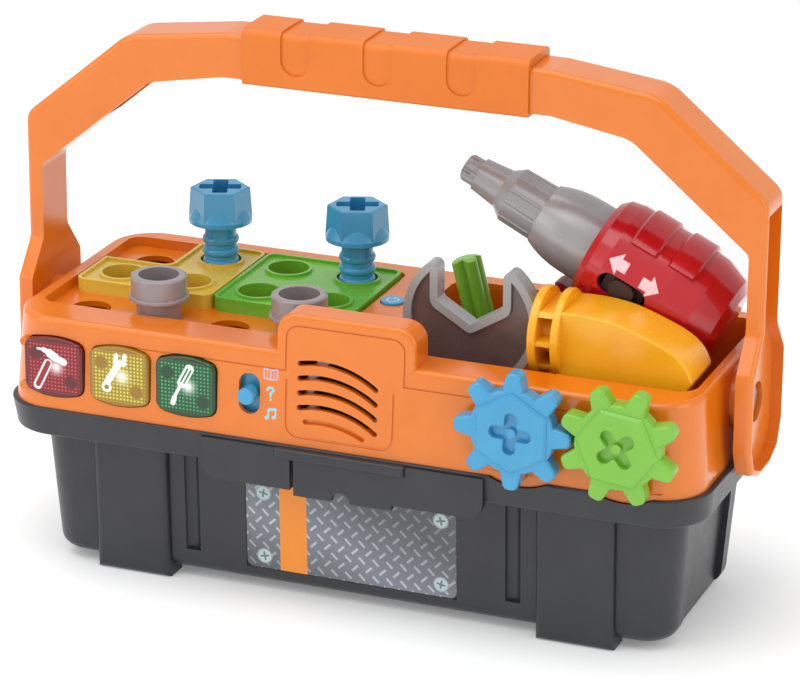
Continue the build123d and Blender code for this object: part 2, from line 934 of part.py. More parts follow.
def tray_liner():
    """Shallow pan under the peg tray, which closes the holes from below."""
    outer = (tray_left - tray_wall, tray_right + tray_wall, tray_front - tray_wall, tray_back + tray_wall)
    body = rounded_block(*outer, liner_floor_z - liner_floor, tray_floor_z - tray_floor, tray_corner + tray_wall)
    body -= rounded_block(tray_left, tray_right, tray_front, tray_back, liner_floor_z,
                          tray_floor_z + overrun, tray_corner)
    return body


def tool_bin():
    body = rounded_block(bin_left - bin_wall, bin_right + bin_wall, bin_front - bin_wall,
                         bin_back + bin_wall, bin_step_z - bin_wall, deck_under, bin_corner + bin_wall)
    body += rounded_block(bin_left - bin_wall, bin_low_right + bin_wall, bin_low_front - bin_wall,
                          bin_low_back + bin_wall, bin_floor_under, bin_step_z, bin_corner + bin_wall)
    body -= rounded_block(bin_left, bin_right, bin_front, bin_back, bin_step_z,
                          deck_under + overrun, bin_corner)
    body -= rounded_block(bin_left, bin_low_right, bin_low_front, bin_low_back, bin_floor_z,
                          bin_step_z + overrun, bin_corner)
    corner_x = speaker_x() + speaker_radius + seat_gap
    corner_y = -speaker_seat_y + speaker_flange + speaker_basket_depth + speaker_magnet_depth
    if corner_y > bin_front - bin_wall and corner_x > bin_left - bin_wall:
        raise ValueError("the speaker reaches into the bin")
    return body


def plate(cells, top_cell_missing):
    """Peg plate over a block of tray holes, with an optional missing corner cell."""
    half = peg_pitch / 2 - plate_gap
    columns = sorted({c for c, r in cells})
    rows = sorted({r for c, r in cells})
    x0 = peg_x[columns[0]] - half
    x1 = peg_x[columns[-1]] + half
    y0 = peg_y[rows[0]] - half
    y1 = peg_y[rows[-1]] + half
    outline = Pos((x0 + x1) / 2, (y0 + y1) / 2) * RectangleRounded(x1 - x0, y1 - y0, plate_corner)
    if top_cell_missing:
        cut_x = peg_x[columns[0]] + half
        cut_y = peg_y[rows[0]] + half
        outline -= Pos((x0 + cut_x) / 2 - overrun, (y1 + cut_y) / 2 + overrun) * RectangleRounded(
            cut_x - x0 + 2 * overrun, y1 - cut_y + 2 * overrun, plate_corner)
    body = extrude(Pos(0, 0, tray_floor_z) * outline, plate_thickness)
    inner = offset(outline, -plate_rim)
    for c, r in cells:
        inner -= Pos(peg_x[c], peg_y[r]) * Circle(plate_hole_radius + plate_ring_width)
    body -= extrude(Pos(0, 0, plate_top - plate_sink) * inner, plate_sink + overrun)
    for c, r in cells:
        body -= rod((peg_x[c], peg_y[r], tray_floor_z - overrun), (peg_x[c], peg_y[r], plate_top + overrun),
                    plate_hole_radius)
    return body


yellow_cells = [(0, 1), (1, 1), (1, 2)]
green_cells = [(2, 1), (3, 1), (2, 2), (3, 2)]


def bolt(x, y, turn):
    """Hexagonal toy bolt with a cross recess, a flared skirt and a coarse rounded thread."""
    head = loft([Pos(0, 0, bolt_hex_low) * RegularPolygon(bolt_hex_low_radius, 6),
                 Pos(0, 0, bolt_head_top) * RegularPolygon(bolt_hex_radius, 6)])
    head = fillet(head.faces().sort_by(Axis.Z)[-1].edges(), bolt_edge_round)
    flare = Pos(0, 0, bolt_hex_low + bolt_flare_height / 2) * Cone(
        bolt_skirt_radius, bolt_flare_radius, bolt_flare_height)
    skirt = rod((0, 0, bolt_skirt_low), (0, 0, bolt_hex_low), bolt_skirt_radius) + flare
    under = Pos(0, 0, (bolt_neck_z + bolt_skirt_low) / 2) * Cone(
        bolt_shaft_radius, bolt_skirt_radius, bolt_skirt_low - bolt_neck_z)
    shaft = rod((0, 0, bolt_end), (0, 0, bolt_skirt_low), bolt_shaft_radius)
    for i in range(bolt_ridges):
        z = bolt_ridge_first - i * bolt_ridge_pitch
        rise = bolt_ridge_height / 2
        depth = bolt_shaft_radius - plate_rim
        side = [(depth, 0, z - rise), (bolt_shaft_radius, 0, z - rise), (bolt_shaft_radius, 0, z + rise),
                (depth, 0, z + rise)]
        edges = [Line(side[3], side[0]), Line(side[0], side[1]),
                 ThreePointArc(side[1], (bolt_ridge_radius, 0, z), side[2]), Line(side[2], side[3])]
        shaft += revolve(make_face(edges), Axis.Z, 360)
    shaft -= block(-bolt_skirt_radius, bolt_skirt_radius, bolt_flat + bolt_ridge_height / 4, bolt_skirt_radius,
                   bolt_end - overrun, bolt_neck_z)
    key = block(-bolt_key_width / 2, bolt_key_width / 2, -bolt_key_front, 0, bolt_ridge_first,
                bolt_skirt_low)
    body = head + skirt + under + shaft + key
    cross = (RectangleRounded(2 * bolt_cross_half, bolt_cross_width, bolt_cross_round)
             + RectangleRounded(bolt_cross_width, 2 * bolt_cross_half, bolt_cross_round))
    body -= extrude(Pos(0, 0, bolt_head_top - bolt_cross_depth) * cross, bolt_cross_depth + overrun)
    return Pos(x, y, 0) * Rot(0, 0, turn) * body


def nail(x, y):
    """Hollow toy nail: a cup with a ring, a bead and a spigot that stands in the tray hole."""
    top = tray_floor_z + nail_height
    ring_low = top - nail_ring_height
    bead_low = ring_low - nail_bead_height
    ring = rod((0, 0, ring_low), (0, 0, top), nail_ring_radius)
    ring = fillet(ring.faces().sort_by(Axis.Z)[-1].edges(), nail_round)
    bead = rod((0, 0, bead_low), (0, 0, ring_low), nail_bead_radius)
    bead = fillet(bead.edges(), nail_bead_height / 3)
    lower = Pos(0, 0, (tray_floor_z + bead_low) / 2) * Cone(
        nail_body_low_radius, nail_body_top_radius, bead_low - tray_floor_z)
    spigot = rod((0, 0, tray_floor_z - nail_spigot_length), (0, 0, tray_floor_z), nail_spigot_radius)
    body = ring + bead + lower + spigot
    body -= rod((0, 0, top - nail_bore_depth), (0, 0, top + overrun), nail_bore_radius)
    return Pos(x, y, 0) * body


def gear_outline():
    """Eight rounded fingers on a disc, with tooth nought pointing up."""
    outline = Circle(gear_root_radius)
    inner = gear_root_radius - gear_tip_round
    for k in range(gear_teeth):
        tooth = make_face(Polyline(
            (-gear_tooth_base_half, inner), (gear_tooth_base_half, inner),
            (gear_tooth_base_half, gear_root_radius),
            (gear_tooth_tip_half, gear_tip_radius), (-gear_tooth_tip_half, gear_tip_radius),
            (-gear_tooth_base_half, gear_root_radius), close=True))
        tips = tooth.vertices().group_by(Axis.Y)[-1]
        tooth = fillet(tips, gear_tip_round)
        outline += Rot(0, 0, k * 360 / gear_teeth) * tooth
    return outline


def gear(x, turn, cross_turn):
    """Gear with a raised bevelled hexagon and a four-lobed recess round a small dot."""
    back = -gear_back
    front = back - gear_thickness
    outline = Rot(0, 0, turn) * gear_outline()
    body = face_xz(outline, front, back)
    body = fillet(body.faces().sort_by(Axis.Y)[0].outer_wire().edges(), gear_edge_round)
    hexagon = Rot(0, 0, turn + 30) * RegularPolygon(gear_hex_radius, 6)
    raised = face_xz(hexagon, front - gear_hex_height, front + gear_hex_height)
    raised = chamfer(raised.faces().sort_by(Axis.Y)[0].edges(), gear_hex_bevel)
    body += raised
    face = front - gear_hex_height
    for k in range(4):
        angle = math.radians(turn + cross_turn + k * 90)
        reach = Vector(gear_lobe_reach * math.cos(angle), gear_lobe_reach * math.sin(angle))
        lobe = Pos(reach.X, reach.Y) * Circle(gear_lobe_radius)
        arm = Rot(0, 0, turn + cross_turn + k * 90) * (
            Pos(gear_lobe_reach / 2, 0) * Rectangle(gear_lobe_reach, 2 * gear_lobe_radius))
        body -= face_xz(lobe + arm, face, face + gear_lobe_depth)
    body += rod((0, face + gear_lobe_depth + fit_gap, 0), (0, face + gear_lobe_depth / 3, 0), gear_dot_radius)
    body -= rod((0, back + overrun, 0), (0, back - gear_bore_depth, 0), gear_bore_radius)
    return Pos(x, 0, gear_z) * body


def gear_axles():
    pins = []
    for x in gear_centres:
        pin = rod((x, -axle_inner_y, gear_z), (x, -gear_back - gear_bore_depth + seat_gap, gear_z),
                  gear_bore_radius - running_gap)
        wall_inner = -housing_front(gear_z) + housing_wall
        pin += rod((x, wall_inner + slide_gap, gear_z), (x, wall_inner + slide_gap + axle_clip, gear_z),
                   axle_clip_radius)
        pins.append(pin)
    return Compound(pins)


def handle_region(points, bends, base):
    """Area under a mirrored outline, down to a base level, with each named corner rounded."""
    left = [(-x, z) for x, z in reversed(points)]
    low = [(points[-1][0], base), (-points[-1][0], base)]
    face = make_face(Polyline(*(points + low + left), close=True))
    for (x, z), radius in bends:
        corners = [v for v in face.vertices() if abs(abs(v.X) - x) < fit_gap and abs(v.Y - z) < fit_gap]
        face = fillet(corners, radius)
    return face


def handle_outer(base):
    points = [(bar_flat_half, bar_top), (shoulder_x, shoulder_z), (elbow_x, elbow_z)]
    bends = [((shoulder_x, shoulder_z), shoulder_bend), ((elbow_x, elbow_z), elbow_bend)]
    return handle_region(points, bends, base)


def handle_inner(base):
    points = [(bar_flat_half, bar_low), (inner_shoulder_x, inner_shoulder_z), (arm_inner, inner_elbow_z)]
    bends = [((inner_shoulder_x, inner_shoulder_z), inner_shoulder_bend),
             ((arm_inner, inner_elbow_z), inner_bend)]
    return handle_region(points, bends, base)


def handle_frame():
    outer = handle_outer(handle_base_z)
    inner = handle_inner(handle_base_z - overrun)
    arch = face_xz(outer, -bar_half_depth, bar_half_depth)
    crown = [e for e in arch.edges() if abs(abs(e.center().Y) - bar_half_depth) < running_gap
             and e.center().Z > handle_base_z + overrun]
    arch = fillet(crown, bar_round)
    arch -= face_xz(inner, -bar_half_depth - overrun, bar_half_depth + overrun)
    channel = offset(outer, -bar_wall) - offset(inner, -overrun)
    channel = channel & (Pos(0, bar_top) * Rectangle(2 * elbow_x, 2 * (bar_top - channel_low)))
    arch -= face_xz(channel, bar_wall - bar_half_depth, bar_half_depth - bar_wall)
    body = arch
    for side in (-1, 1):
        body = arm(body, side)
    return body


def arm_outline(top):
    right = [(blade_low_half, blade_low), (blade_turn_half, blade_turn_z), (blade_half, blade_side_low),
             (blade_half, blade_top), (bar_half_depth, neck_low), (bar_half_depth, top)]
    left = [(-y, z) for y, z in reversed(right)]
    face = make_face(Polyline(*(right + left), close=True))
    bends = [v for v in face.vertices() if v.Y < neck_low + overrun]
    return fillet(bends, arm_corner_round)


def arm(body, side):
    """Adds a side arm: a plate with a raised rim, open outward, that swells into the pivot blade."""
    def upright(x):
        return Plane(origin=(side * x, 0, 0), x_dir=(0, side, 0), z_dir=(side, 0, 0))

    blade = extrude(upright(arm_inner) * arm_outline(handle_base_z), arm_outer - arm_inner)
    outside = [e for e in blade.edges() if abs(abs(e.center().X) - arm_outer) < running_gap
               and e.center().Z < handle_base_z - running_gap]
    body += fillet(outside, bar_round)
    body += rod((side * hub_inner, 0, pivot_z), (side * (arm_inner + arm_floor), 0, pivot_z), hub_radius)
    recess = offset(arm_outline(pocket_top_z), -arm_rim)
    body -= extrude(upright(arm_inner + arm_floor) * recess, arm_outer - arm_inner)
    body -= rod((side * (hub_inner + hub_floor), 0, pivot_z), (side * (arm_outer + overrun), 0, pivot_z),
                hub_pit_radius)
    body -= rod((side * (hub_inner - overrun), 0, pivot_z), (side * arm_outer, 0, pivot_z),
                pivot_radius + running_gap)
    return body


def pivot_inner():
    return housing_end(pivot_z) - housing_wall - slide_gap - pivot_nut


def handle_pivots():
    pins = []
    for side in (-1, 1):
        head = hub_inner + hub_floor + fit_gap
        pin = rod((side * pivot_inner(), 0, pivot_z), (side * (head + pivot_head), 0, pivot_z), pivot_radius)
        pin += rod((side * head, 0, pivot_z), (side * (head + pivot_head), 0, pivot_z), pivot_head_radius)
        wall = pivot_inner() + pivot_nut
        pin += rod((side * pivot_inner(), 0, pivot_z), (side * wall, 0, pivot_z), pivot_nut_radius)
        pins.append(pin)
    return Compound(pins)


def grip_cover():
    """Grip shell that wraps the top and sides of the bar, with three sunk bands."""
    base = grip_low + grip_plate
    body = block(-grip_half_length, grip_half_length, -grip_half_depth, grip_half_depth, base, grip_top)
    long_edges = body.edges().filter_by(Axis.X).group_by(Axis.Z)[-1]
    body = fillet(long_edges, grip_round)
    for x_share in grip_band_shares:
        x = x_share * grip_half_length
        band = block(x - grip_band_width / 2, x + grip_band_width / 2, -grip_half_depth - overrun,
                     grip_half_depth + overrun, grip_band_low, grip_top + overrun)
        low_edges = band.edges().filter_by(Axis.Y).group_by(Axis.Z)[0]
        band = fillet(low_edges, grip_band_width / 2 - fit_gap)
        core = block(x - grip_band_width, x + grip_band_width, grip_band_depth - grip_half_depth,
                     grip_half_depth - grip_band_depth, base, grip_top - grip_band_depth)
        core = fillet(core.edges().filter_by(Axis.X).group_by(Axis.Z)[-1], grip_round)
        body -= band - core
    bar = block(-grip_half_length - overrun, grip_half_length + overrun, -bar_half_depth - grip_gap,
                bar_half_depth + grip_gap, base - overrun, bar_top + grip_gap)
    bar = fillet(bar.edges().filter_by(Axis.X).group_by(Axis.Z)[-1], bar_round)
    return body - bar


def grip_base():
    """Strip that closes the grip from below and reaches into the bar's channel."""
    body = block(-grip_half_length, grip_half_length, -grip_half_depth, grip_half_depth,
                 grip_low, grip_low + grip_plate)
    body = fillet(body.edges().filter_by(Axis.X).group_by(Axis.Z)[0], grip_plate * 2 / 3)
    tongue_half = bar_half_depth - bar_wall - fit_gap
    body += block(-grip_half_length + overrun, grip_half_length - overrun, -tongue_half, tongue_half,
                  grip_low + grip_plate, grip_low + grip_plate + grip_tongue)
    return body


def button_lens(x):
    """Clear button cap with a domed front, a skirt and two posts behind."""
    outline = button_outline(0)
    body = face_xz(outline, -button_front, -button_back)
    body = fillet(body.faces().sort_by(Axis.Y)[0].edges(), button_dome)
    hollow = face_xz(button_outline(-button_skirt), -button_front + button_plate, -button_back + overrun)
    body -= hollow
    for side in (-1, 1):
        body += rod((side * button_post_x, -button_front + button_plate / 2, -side * button_post_z),
                    (side * button_post_x, -button_post_end, -side * button_post_z), button_post_radius)
    return Pos(x, 0, button_z) * body


def mode_slider():
    base = Rectangle(2 * slider_base_half_width, 2 * slider_base_half_height)
    body = face_xz(base, -slider_base_front, -slider_base_back)
    neck = rod((0, -slider_base_front, 0), (0, -slider_knob_front, 0), slider_knob_radius)
    neck = fillet(neck.faces().sort_by(Axis.Y)[0].edges(), slider_slot_gap)
    body += neck
    body += rod((0, -slider_base_back - fit_gap, 0), (0, -board_front - switch_height - mode_stem, 0), mode_stem)
    return Pos(slider_x, 0, slider_z) * body


def power_button():
    top = rim_top + power_proud
    body = rod((power_x, power_y, top - power_length), (power_x, power_y, top), power_radius)
    body = fillet(body.faces().sort_by(Axis.Z)[-1].edges(), power_proud / 2)
    flange_z = deck_under - fit_gap
    body += block(power_x - power_lug_half_width, power_x + power_lug_half_width,
                  power_y - power_lug_half_length, power_y + power_lug_half_length,
                  flange_z - power_lug, flange_z)
    return body


def power_switch():
    top = rim_top + power_proud - power_length - power_travel
    body = block(power_x - power_switch_half, power_x + power_switch_half, power_y - power_switch_half,
                 power_y + power_switch_half, top - power_switch_height, top)
    y_half = power_lug_half_length + 2 * power_post_radius + slide_gap
    base = power_bracket_top()
    body += block(power_x - power_switch_half, power_x + power_switch_half, power_y - y_half,
                  power_y + y_half, base - power_bracket_thickness, base)
    return body


def circuit_board():
    return block(board_left, board_right, -board_front, -board_back, board_low, board_high)


def lamps():
    bodies = []
    for x in button_centres:
        lamp = rod((x, -board_front, button_z), (x, -board_front - lamp_length, button_z), lamp_radius)
        bodies.append(fillet(lamp.faces().sort_by(Axis.Y)[0].edges(), lamp_radius / 2))
    return Compound(bodies)


def button_switches():
    bodies = []
    for x in button_centres:
        for side in (-1, 1):
            centre_x = x + side * button_post_x
            centre_z = button_z - side * button_post_z
            bodies.append(block(centre_x - switch_side / 2, centre_x + switch_side / 2,
                                -board_front - switch_height, -board_front,
                                centre_z - switch_side / 2, centre_z + switch_side / 2))
    return Compound(bodies)


def mode_switch():
    return block(slider_x - mode_switch_width / 2, slider_x + mode_switch_width / 2,
                 -board_front - switch_height, -board_front,
                 slider_z - mode_switch_height / 2, slider_z + mode_switch_height / 2)


def speaker_frame():
    x = speaker_x()
    front = -speaker_seat_y
    flange_back = front + speaker_flange
    back = flange_back + speaker_basket_depth
    body = rod((x, front, speaker_z), (x, flange_back, speaker_z), speaker_radius)
    cone_centre = Plane(origin=(x, (flange_back + back) / 2, speaker_z), z_dir=(0, 1, 0))
    inner_radius = speaker_radius - speaker_ring_width
    body += cone_centre * Cone(inner_radius, speaker_basket_radius, speaker_basket_depth)
    body -= rod((x, front, speaker_z), (x, flange_back, speaker_z), inner_radius - speaker_sheet)
    body -= cone_centre * Cone(inner_radius - speaker_sheet, speaker_basket_radius - speaker_sheet,
                               speaker_basket_depth)
    return body


def speaker_cone():
    x = speaker_x()
    front = -speaker_seat_y
    top_radius = speaker_radius - speaker_ring_width - speaker_sheet - fit_gap
    low_radius = speaker_cap_radius
    depth = speaker_basket_depth
    centre = Plane(origin=(x, front + depth / 2 + speaker_sheet, speaker_z), z_dir=(0, 1, 0))
    body = centre * Cone(top_radius, low_radius, depth)
    inner = Plane(origin=(x, front + depth / 2, speaker_z), z_dir=(0, 1, 0)) * Cone(
        top_radius, low_radius, depth)
    body -= inner
    rim = rod((x, front, speaker_z), (x, front + speaker_sheet, speaker_z), top_radius)
    rim -= rod((x, front, speaker_z), (x, front + speaker_sheet, speaker_z), top_radius - speaker_sheet)
    cap = rod((x, front + depth - speaker_sheet, speaker_z), (x, front + depth + speaker_sheet, speaker_z),
              speaker_cap_radius + speaker_sheet)
    return body + rim + cap


def speaker_magnet():
    x = speaker_x()
    front = -speaker_seat_y + speaker_flange + speaker_basket_depth
    body = rod((x, front, speaker_z), (x, front + speaker_magnet_depth, speaker_z), speaker_magnet_radius)
    inner = speaker_basket_radius
    plate_disc = rod((x, front, speaker_z), (x, front + speaker_sheet, speaker_z), inner)
    return body + plate_disc


def battery_case():
    body = block(case_left, case_right, -case_half_depth, case_half_depth, tub_floor_top, case_top)
    body -= block(door_opening_left, door_opening_right, -door_opening_half, door_opening_half,
                  0, case_top - case_wall)
    boss_low = tub_bottom + door_thickness + fit_gap
    body += rod((door_screw_x, 0, boss_low), (door_screw_x, 0, case_top - case_wall / 2), door_boss_radius)
    hole_end = tub_bottom + screw_head + screw_length + fit_gap
    body -= rod((door_screw_x, 0, 0), (door_screw_x, 0, hole_end), screw_radius)
    return body


def battery(x):
    half = battery_length / 2
    body = rod((x, -half, battery_z), (x, half - battery_nub, battery_z), battery_radius)
    body += rod((x, half - battery_nub, battery_z), (x, half, battery_z), battery_nub_radius)
    return body


def battery_contacts():
    plates = []
    for x in battery_x:
        for side in (-1, 1):
            near = battery_length / 2
            far = door_opening_half
            y0, y1 = sorted((side * near, side * far))
            plates.append(block(x - contact_width / 2, x + contact_width / 2, y0, y1,
                                battery_z - contact_width / 2, battery_z + contact_width / 2))
    return Compound(plates)


def battery_door():
    top = tub_bottom + door_thickness
    body = block(door_opening_left + fit_gap, door_opening_right - fit_gap, -door_opening_half + fit_gap,
                 door_opening_half - fit_gap, tub_bottom, top)
    for x in battery_x:
        body += block(x - door_rib / 2, x + door_rib / 2, -door_opening_half / 2, door_opening_half / 2,
                      top, battery_z - battery_radius - fit_gap)
    body -= rod((door_screw_x, 0, 0), (door_screw_x, 0, tub_bottom + screw_head + fit_gap / 2),
                screw_head_radius + fit_gap)
    body -= rod((door_screw_x, 0, 0), (door_screw_x, 0, top + overrun), screw_radius + fit_gap)
    return body


def screw(x, y, head_low, length):
    """Pan-head screw that points up."""
    body = rod((x, y, head_low), (x, y, head_low + screw_head), screw_head_radius)
    body += rod((x, y, head_low), (x, y, head_low + screw_head + length), screw_radius)
    slot = (screw_head_radius * 2 / 3, screw_radius / 4)
    for half_x, half_y in (slot, slot[::-1]):
        body -= block(x - half_x, x + half_x, y - half_y, y + half_y, head_low, head_low + screw_head / 2)
    return body


def join_screws():
    length = web_thickness + join_post_height - housing_wall
    return Compound([screw(x, y, web_under - screw_head, length) for x, y in join_places])


def wrench():
    back = wrench_front + wrench_thickness
    outline = Pos(wrench_x, wrench_z) * Circle(wrench_radius)
    stem_top = wrench_z - wrench_radius / 2
    stem_low = bin_floor_z + seat_gap
    stem = Pos(wrench_x, (stem_top + stem_low) / 2) * RectangleRounded(
        2 * wrench_stem_half, stem_top - stem_low, wrench_stem_round)
    tall = wrench_z + wrench_radius + overrun
    jaw = make_face(Polyline(
        (wrench_x - wrench_jaw_half, tall), (wrench_x - wrench_jaw_half, wrench_jaw_corner_z),
        (wrench_x, wrench_jaw_apex_z), (wrench_x + wrench_jaw_half, wrench_jaw_corner_z),
        (wrench_x + wrench_jaw_half, tall), close=True))
    head = outline - jaw
    tips = head.vertices().group_by(Axis.Y)[-1]
    head = fillet(tips, wrench_tip_round)
    bends = [v for v in head.vertices() if abs(abs(v.X - wrench_x) - wrench_jaw_half) < running_gap
             and abs(v.Y - wrench_jaw_corner_z) < running_gap]
    head = fillet(bends, wrench_jaw_round)
    whole = head + stem
    necks = [v for v in whole.vertices() if abs(abs(v.X - wrench_x) - wrench_stem_half) < fit_gap
             and stem_low + wrench_stem_round + overrun < v.Y < wrench_z]
    whole = fillet(necks, wrench_neck_round)
    body = face_xz(whole, wrench_front, back)
    sunk = offset(whole, -wrench_rim)
    body -= face_xz(sunk, wrench_front - overrun, wrench_front + wrench_sink)
    body -= face_xz(sunk, back - wrench_sink, back + overrun)
    return body


def hammer_head():
    ring_from = hammer_face_x + hammer_face + hammer_neck
    ring_to = ring_from + hammer_ring
    face = rod((hammer_face_x, hammer_y, hammer_z), (hammer_face_x + hammer_face, hammer_y, hammer_z),
               hammer_radius)
    face = fillet(face.edges().filter_by(GeomType.CIRCLE), hammer_edge_round)
    ring = rod((ring_from, hammer_y, hammer_z), (ring_to, hammer_y, hammer_z), hammer_radius)
    ring = fillet(ring.edges().filter_by(GeomType.CIRCLE), hammer_edge_round)
    neck_from = hammer_face_x + hammer_face / 2
    core = rod((neck_from, hammer_y, hammer_z), (ring_to, hammer_y, hammer_z), hammer_core_radius)
    body = face + ring + core
    barrel = rod((neck_from, hammer_y, hammer_z), (ring_to, hammer_y, hammer_z), hammer_radius - hammer_edge_round)
    for step in (-1, 0, 1):
        z = hammer_z + step * hammer_rib_drop
        body += barrel & block(neck_from, ring_to, -flange_half_depth, 0, z - hammer_rib / 2, z + hammer_rib / 2)
    claw_from = ring_to - hammer_ring / 2
    bottom = hammer_z - hammer_radius + hammer_edge_round
    start = (claw_from, claw_top)
    root = (claw_root_x, bottom)
    edges = [Spline(start, claw_crown, claw_bend, claw_slope, claw_shoulder, claw_tip),
             Line(claw_tip, claw_hook), Line(claw_hook, root), Line(root, (claw_from, bottom)),
             Line((claw_from, bottom), start)]
    claw = face_xz(make_face(edges), claw_front, claw_back)
    bends = [e for e in claw.edges().filter_by(Axis.Y) if e.center().X > claw_from + overrun]
    claw = fillet(bends, claw_round)
    rims = [e for e in claw.edges() if e.center().X > claw_from + overrun
            and min(abs(e.center().Y - claw_front), abs(e.center().Y - claw_back)) < running_gap]
    claw = fillet(rims, hammer_edge_round)
    body += claw
    body -= rod((hammer_handle_x, hammer_handle_y, bottom - overrun),
                (hammer_handle_x, hammer_handle_y, hammer_spigot_top + fit_gap),
                hammer_spigot_radius + press_gap)
    return body


def hammer_handle():
    low = bin_floor_z + seat_gap
    top = hammer_z - hammer_radius + hammer_edge_round
    centre = (hammer_handle_x, hammer_handle_y)
    waist = mix(low, top, 2 / 3)
    body = rod((*centre, low), (*centre, waist), hammer_handle_radius)
    body = fillet(body.faces().sort_by(Axis.Z)[0].edges(), hammer_handle_radius / 3)
    cone = Pos(*centre, (waist + top) / 2) * Cone(hammer_handle_radius, hammer_waist_radius, top - waist)
    body += cone
    body += rod((*centre, top), (*centre, hammer_spigot_top), hammer_spigot_radius)
    return body


def driver_place():
    """Frame at the screwdriver's tip, with its own Z along the shaft towards the tip."""
    return Pos(driver_tip_x, driver_y, driver_tip_z) * Rot(0, -driver_lean, 0)


def screwdriver_shaft():
    length = driver_shaft_length
    section = Circle(driver_lobe_reach)
    for k in range(4):
        angle = math.radians(45 + 90 * k)
        section += Pos(driver_lobe_reach * math.cos(angle), driver_lobe_reach * math.sin(angle)) * Circle(
            driver_lobe_radius)
    body = extrude(Pos(0, 0, -length) * section, length)
    point = Pos(0, 0, -length / 2) * Cylinder(driver_shaft_radius + driver_lobe_radius, length)
    point = fillet(point.faces().sort_by(Axis.Z)[-1].edges(), driver_shaft_radius - fit_gap)
    body = body & point
    body += rod((0, 0, -length - driver_tang), (0, 0, -length + fit_gap), driver_tang_radius)
    return driver_place() * body


def screwdriver_handle():
    top = -driver_shaft_length
    low = -driver_length
    body = rod((0, 0, low), (0, 0, top - driver_collar), driver_handle_radius)
    body = fillet(body.faces().sort_by(Axis.Z)[0].edges(), driver_round)
    for k in range(driver_flutes):
        angle = math.radians(360 / driver_flutes * k)
        reach = driver_handle_radius + driver_flute_sink
        x = reach * math.cos(angle)
        y = reach * math.sin(angle)
        body -= rod((x, y, low + driver_round * 2), (x, y, top - driver_collar - driver_round),
                    driver_flute_radius)
    body += rod((0, 0, top - driver_collar), (0, 0, top), driver_collar_radius)
    body -= rod((0, 0, top - driver_tang), (0, 0, top + overrun), driver_tang_radius + press_gap)
    return driver_place() * body


def drill_place():
    """Frame at the middle of the drill's front rim, with its own -X towards the tip."""
    return Pos(drill_x, drill_y, drill_z) * Rot(0, drill_pitch_angle, 0)


def spun(points):
    """Solid turned about the drill's axis from (along, radius) pairs."""
    face = make_face(Polyline(*[(a, 0, r) for a, r in points], close=True))
    return revolve(face, Axis.X, 360)


def drill_profile(inset):
    """Half outline of the drill's barrel, set in by a wall where the inset is not nought."""
    points = [(inset, 0), (inset, drill_rim_radius - inset), (drill_shoulder[0] + inset / 2, drill_shoulder[1] - inset),
              (drill_crest_from, drill_body_radius - inset), (drill_crest_to, drill_body_radius - inset),
              (drill_waist[0], drill_waist[1] - inset), (drill_tail[0] - inset / 2, drill_tail[1] - inset),
              (drill_body_length - inset, drill_rear_face_radius - inset), (drill_body_length - inset, 0)]
    return points


def drill_grip_block(inset):
    points = [(grip_front_top + inset, grip_top_z), (grip_rear_top - inset, grip_top_z),
              (grip_rear_low - inset, grip_low_z + inset), (grip_front_low + inset, grip_low_z + inset)]
    half = drill_grip_half - inset
    body = prism_xz(points, -half, half)
    sides = [e for e in body.edges() if abs(e.center().Z - grip_top_z) > overrun
             and abs(abs(e.center().Y) - half) < running_gap]
    return fillet(sides, drill_grip_round - inset)


def direction_slot(gap):
    middle = (direction_from + direction_to) / 2
    return Pos(middle, direction_z) * SlotOverall(direction_to - direction_from + 2 * gap,
                                                  2 * direction_slot_half + 2 * gap)


def shell_screw_places():
    places = []
    for share in (shell_screw_mid_share, shell_screw_low_share):
        z = mix(grip_top_z, grip_low_z, share)
        x = mix(grip_front_top + grip_rear_top, grip_front_low + grip_rear_low, share) / 2
        places.append((x, z))
    places.append((shell_screw_rear_x, shell_screw_rear_z))
    return places


def drill_shell(side):
    """One half of the drill's housing, split through the drill's middle plane."""
    outer = spun(drill_profile(0)) + drill_grip_block(0)
    for i in range(rib_panel_ribs):
        x = rib_panel_from + i * rib_panel_pitch
        crest = rod((x, 0, 0), (x + rib_panel_rib, 0, 0), drill_body_radius + rib_panel_out)
        crest = chamfer(crest.edges().filter_by(GeomType.CIRCLE), rib_panel_out * 2 / 3)
        outer += crest & ribs_wedge()
    inner = spun(drill_profile(drill_shell_wall)) + drill_grip_block(drill_shell_wall)
    body = outer - inner
    for x in (bearing_first, bearing_second):
        body += rod((x, 0, 0), (x + bearing_plate, 0, 0), drill_body_radius) & inner
    body -= rod((-overrun, 0, 0), (drill_shell_wall, 0, 0), drill_mouth_radius)
    body -= rod((0, 0, 0), (drill_body_length - drill_shell_wall, 0, 0), spindle_radius + running_gap)
    body -= block(trigger_front, trigger_back + trigger_travel, -trigger_half - slide_gap,
                  trigger_half + slide_gap, trigger_low - slide_gap, trigger_top + slide_gap)
    body -= face_xz(direction_slot(0), -drill_body_radius - overrun, 2 * drill_shell_wall - drill_body_radius)
    for x, z in shell_screw_places():
        post = rod((x, -drill_body_radius, z), (x, drill_body_radius, z), shell_boss_radius)
        body += post & inner
        body -= rod((x, shell_screw_end, z), (x, shell_screw_seat, z), shell_screw_radius)
        body -= rod((x, shell_screw_seat, z), (x, drill_body_radius + overrun, z),
                    shell_screw_head_radius + fit_gap)
    for i in range(vent_count):
        x = vent_from + i * vent_pitch
        body -= block(x, x + vent_width, -drill_body_radius - overrun, 3 * drill_shell_wall - drill_body_radius,
                      -vent_half_height - shell_screw_rear_z, -shell_screw_rear_z / 2)
    reach = drill_body_radius + overrun
    half = block(-overrun, drill_body_length + overrun, *sorted((0, side * reach)), grip_low_z - overrun, reach)
    return drill_place() * (body & half)


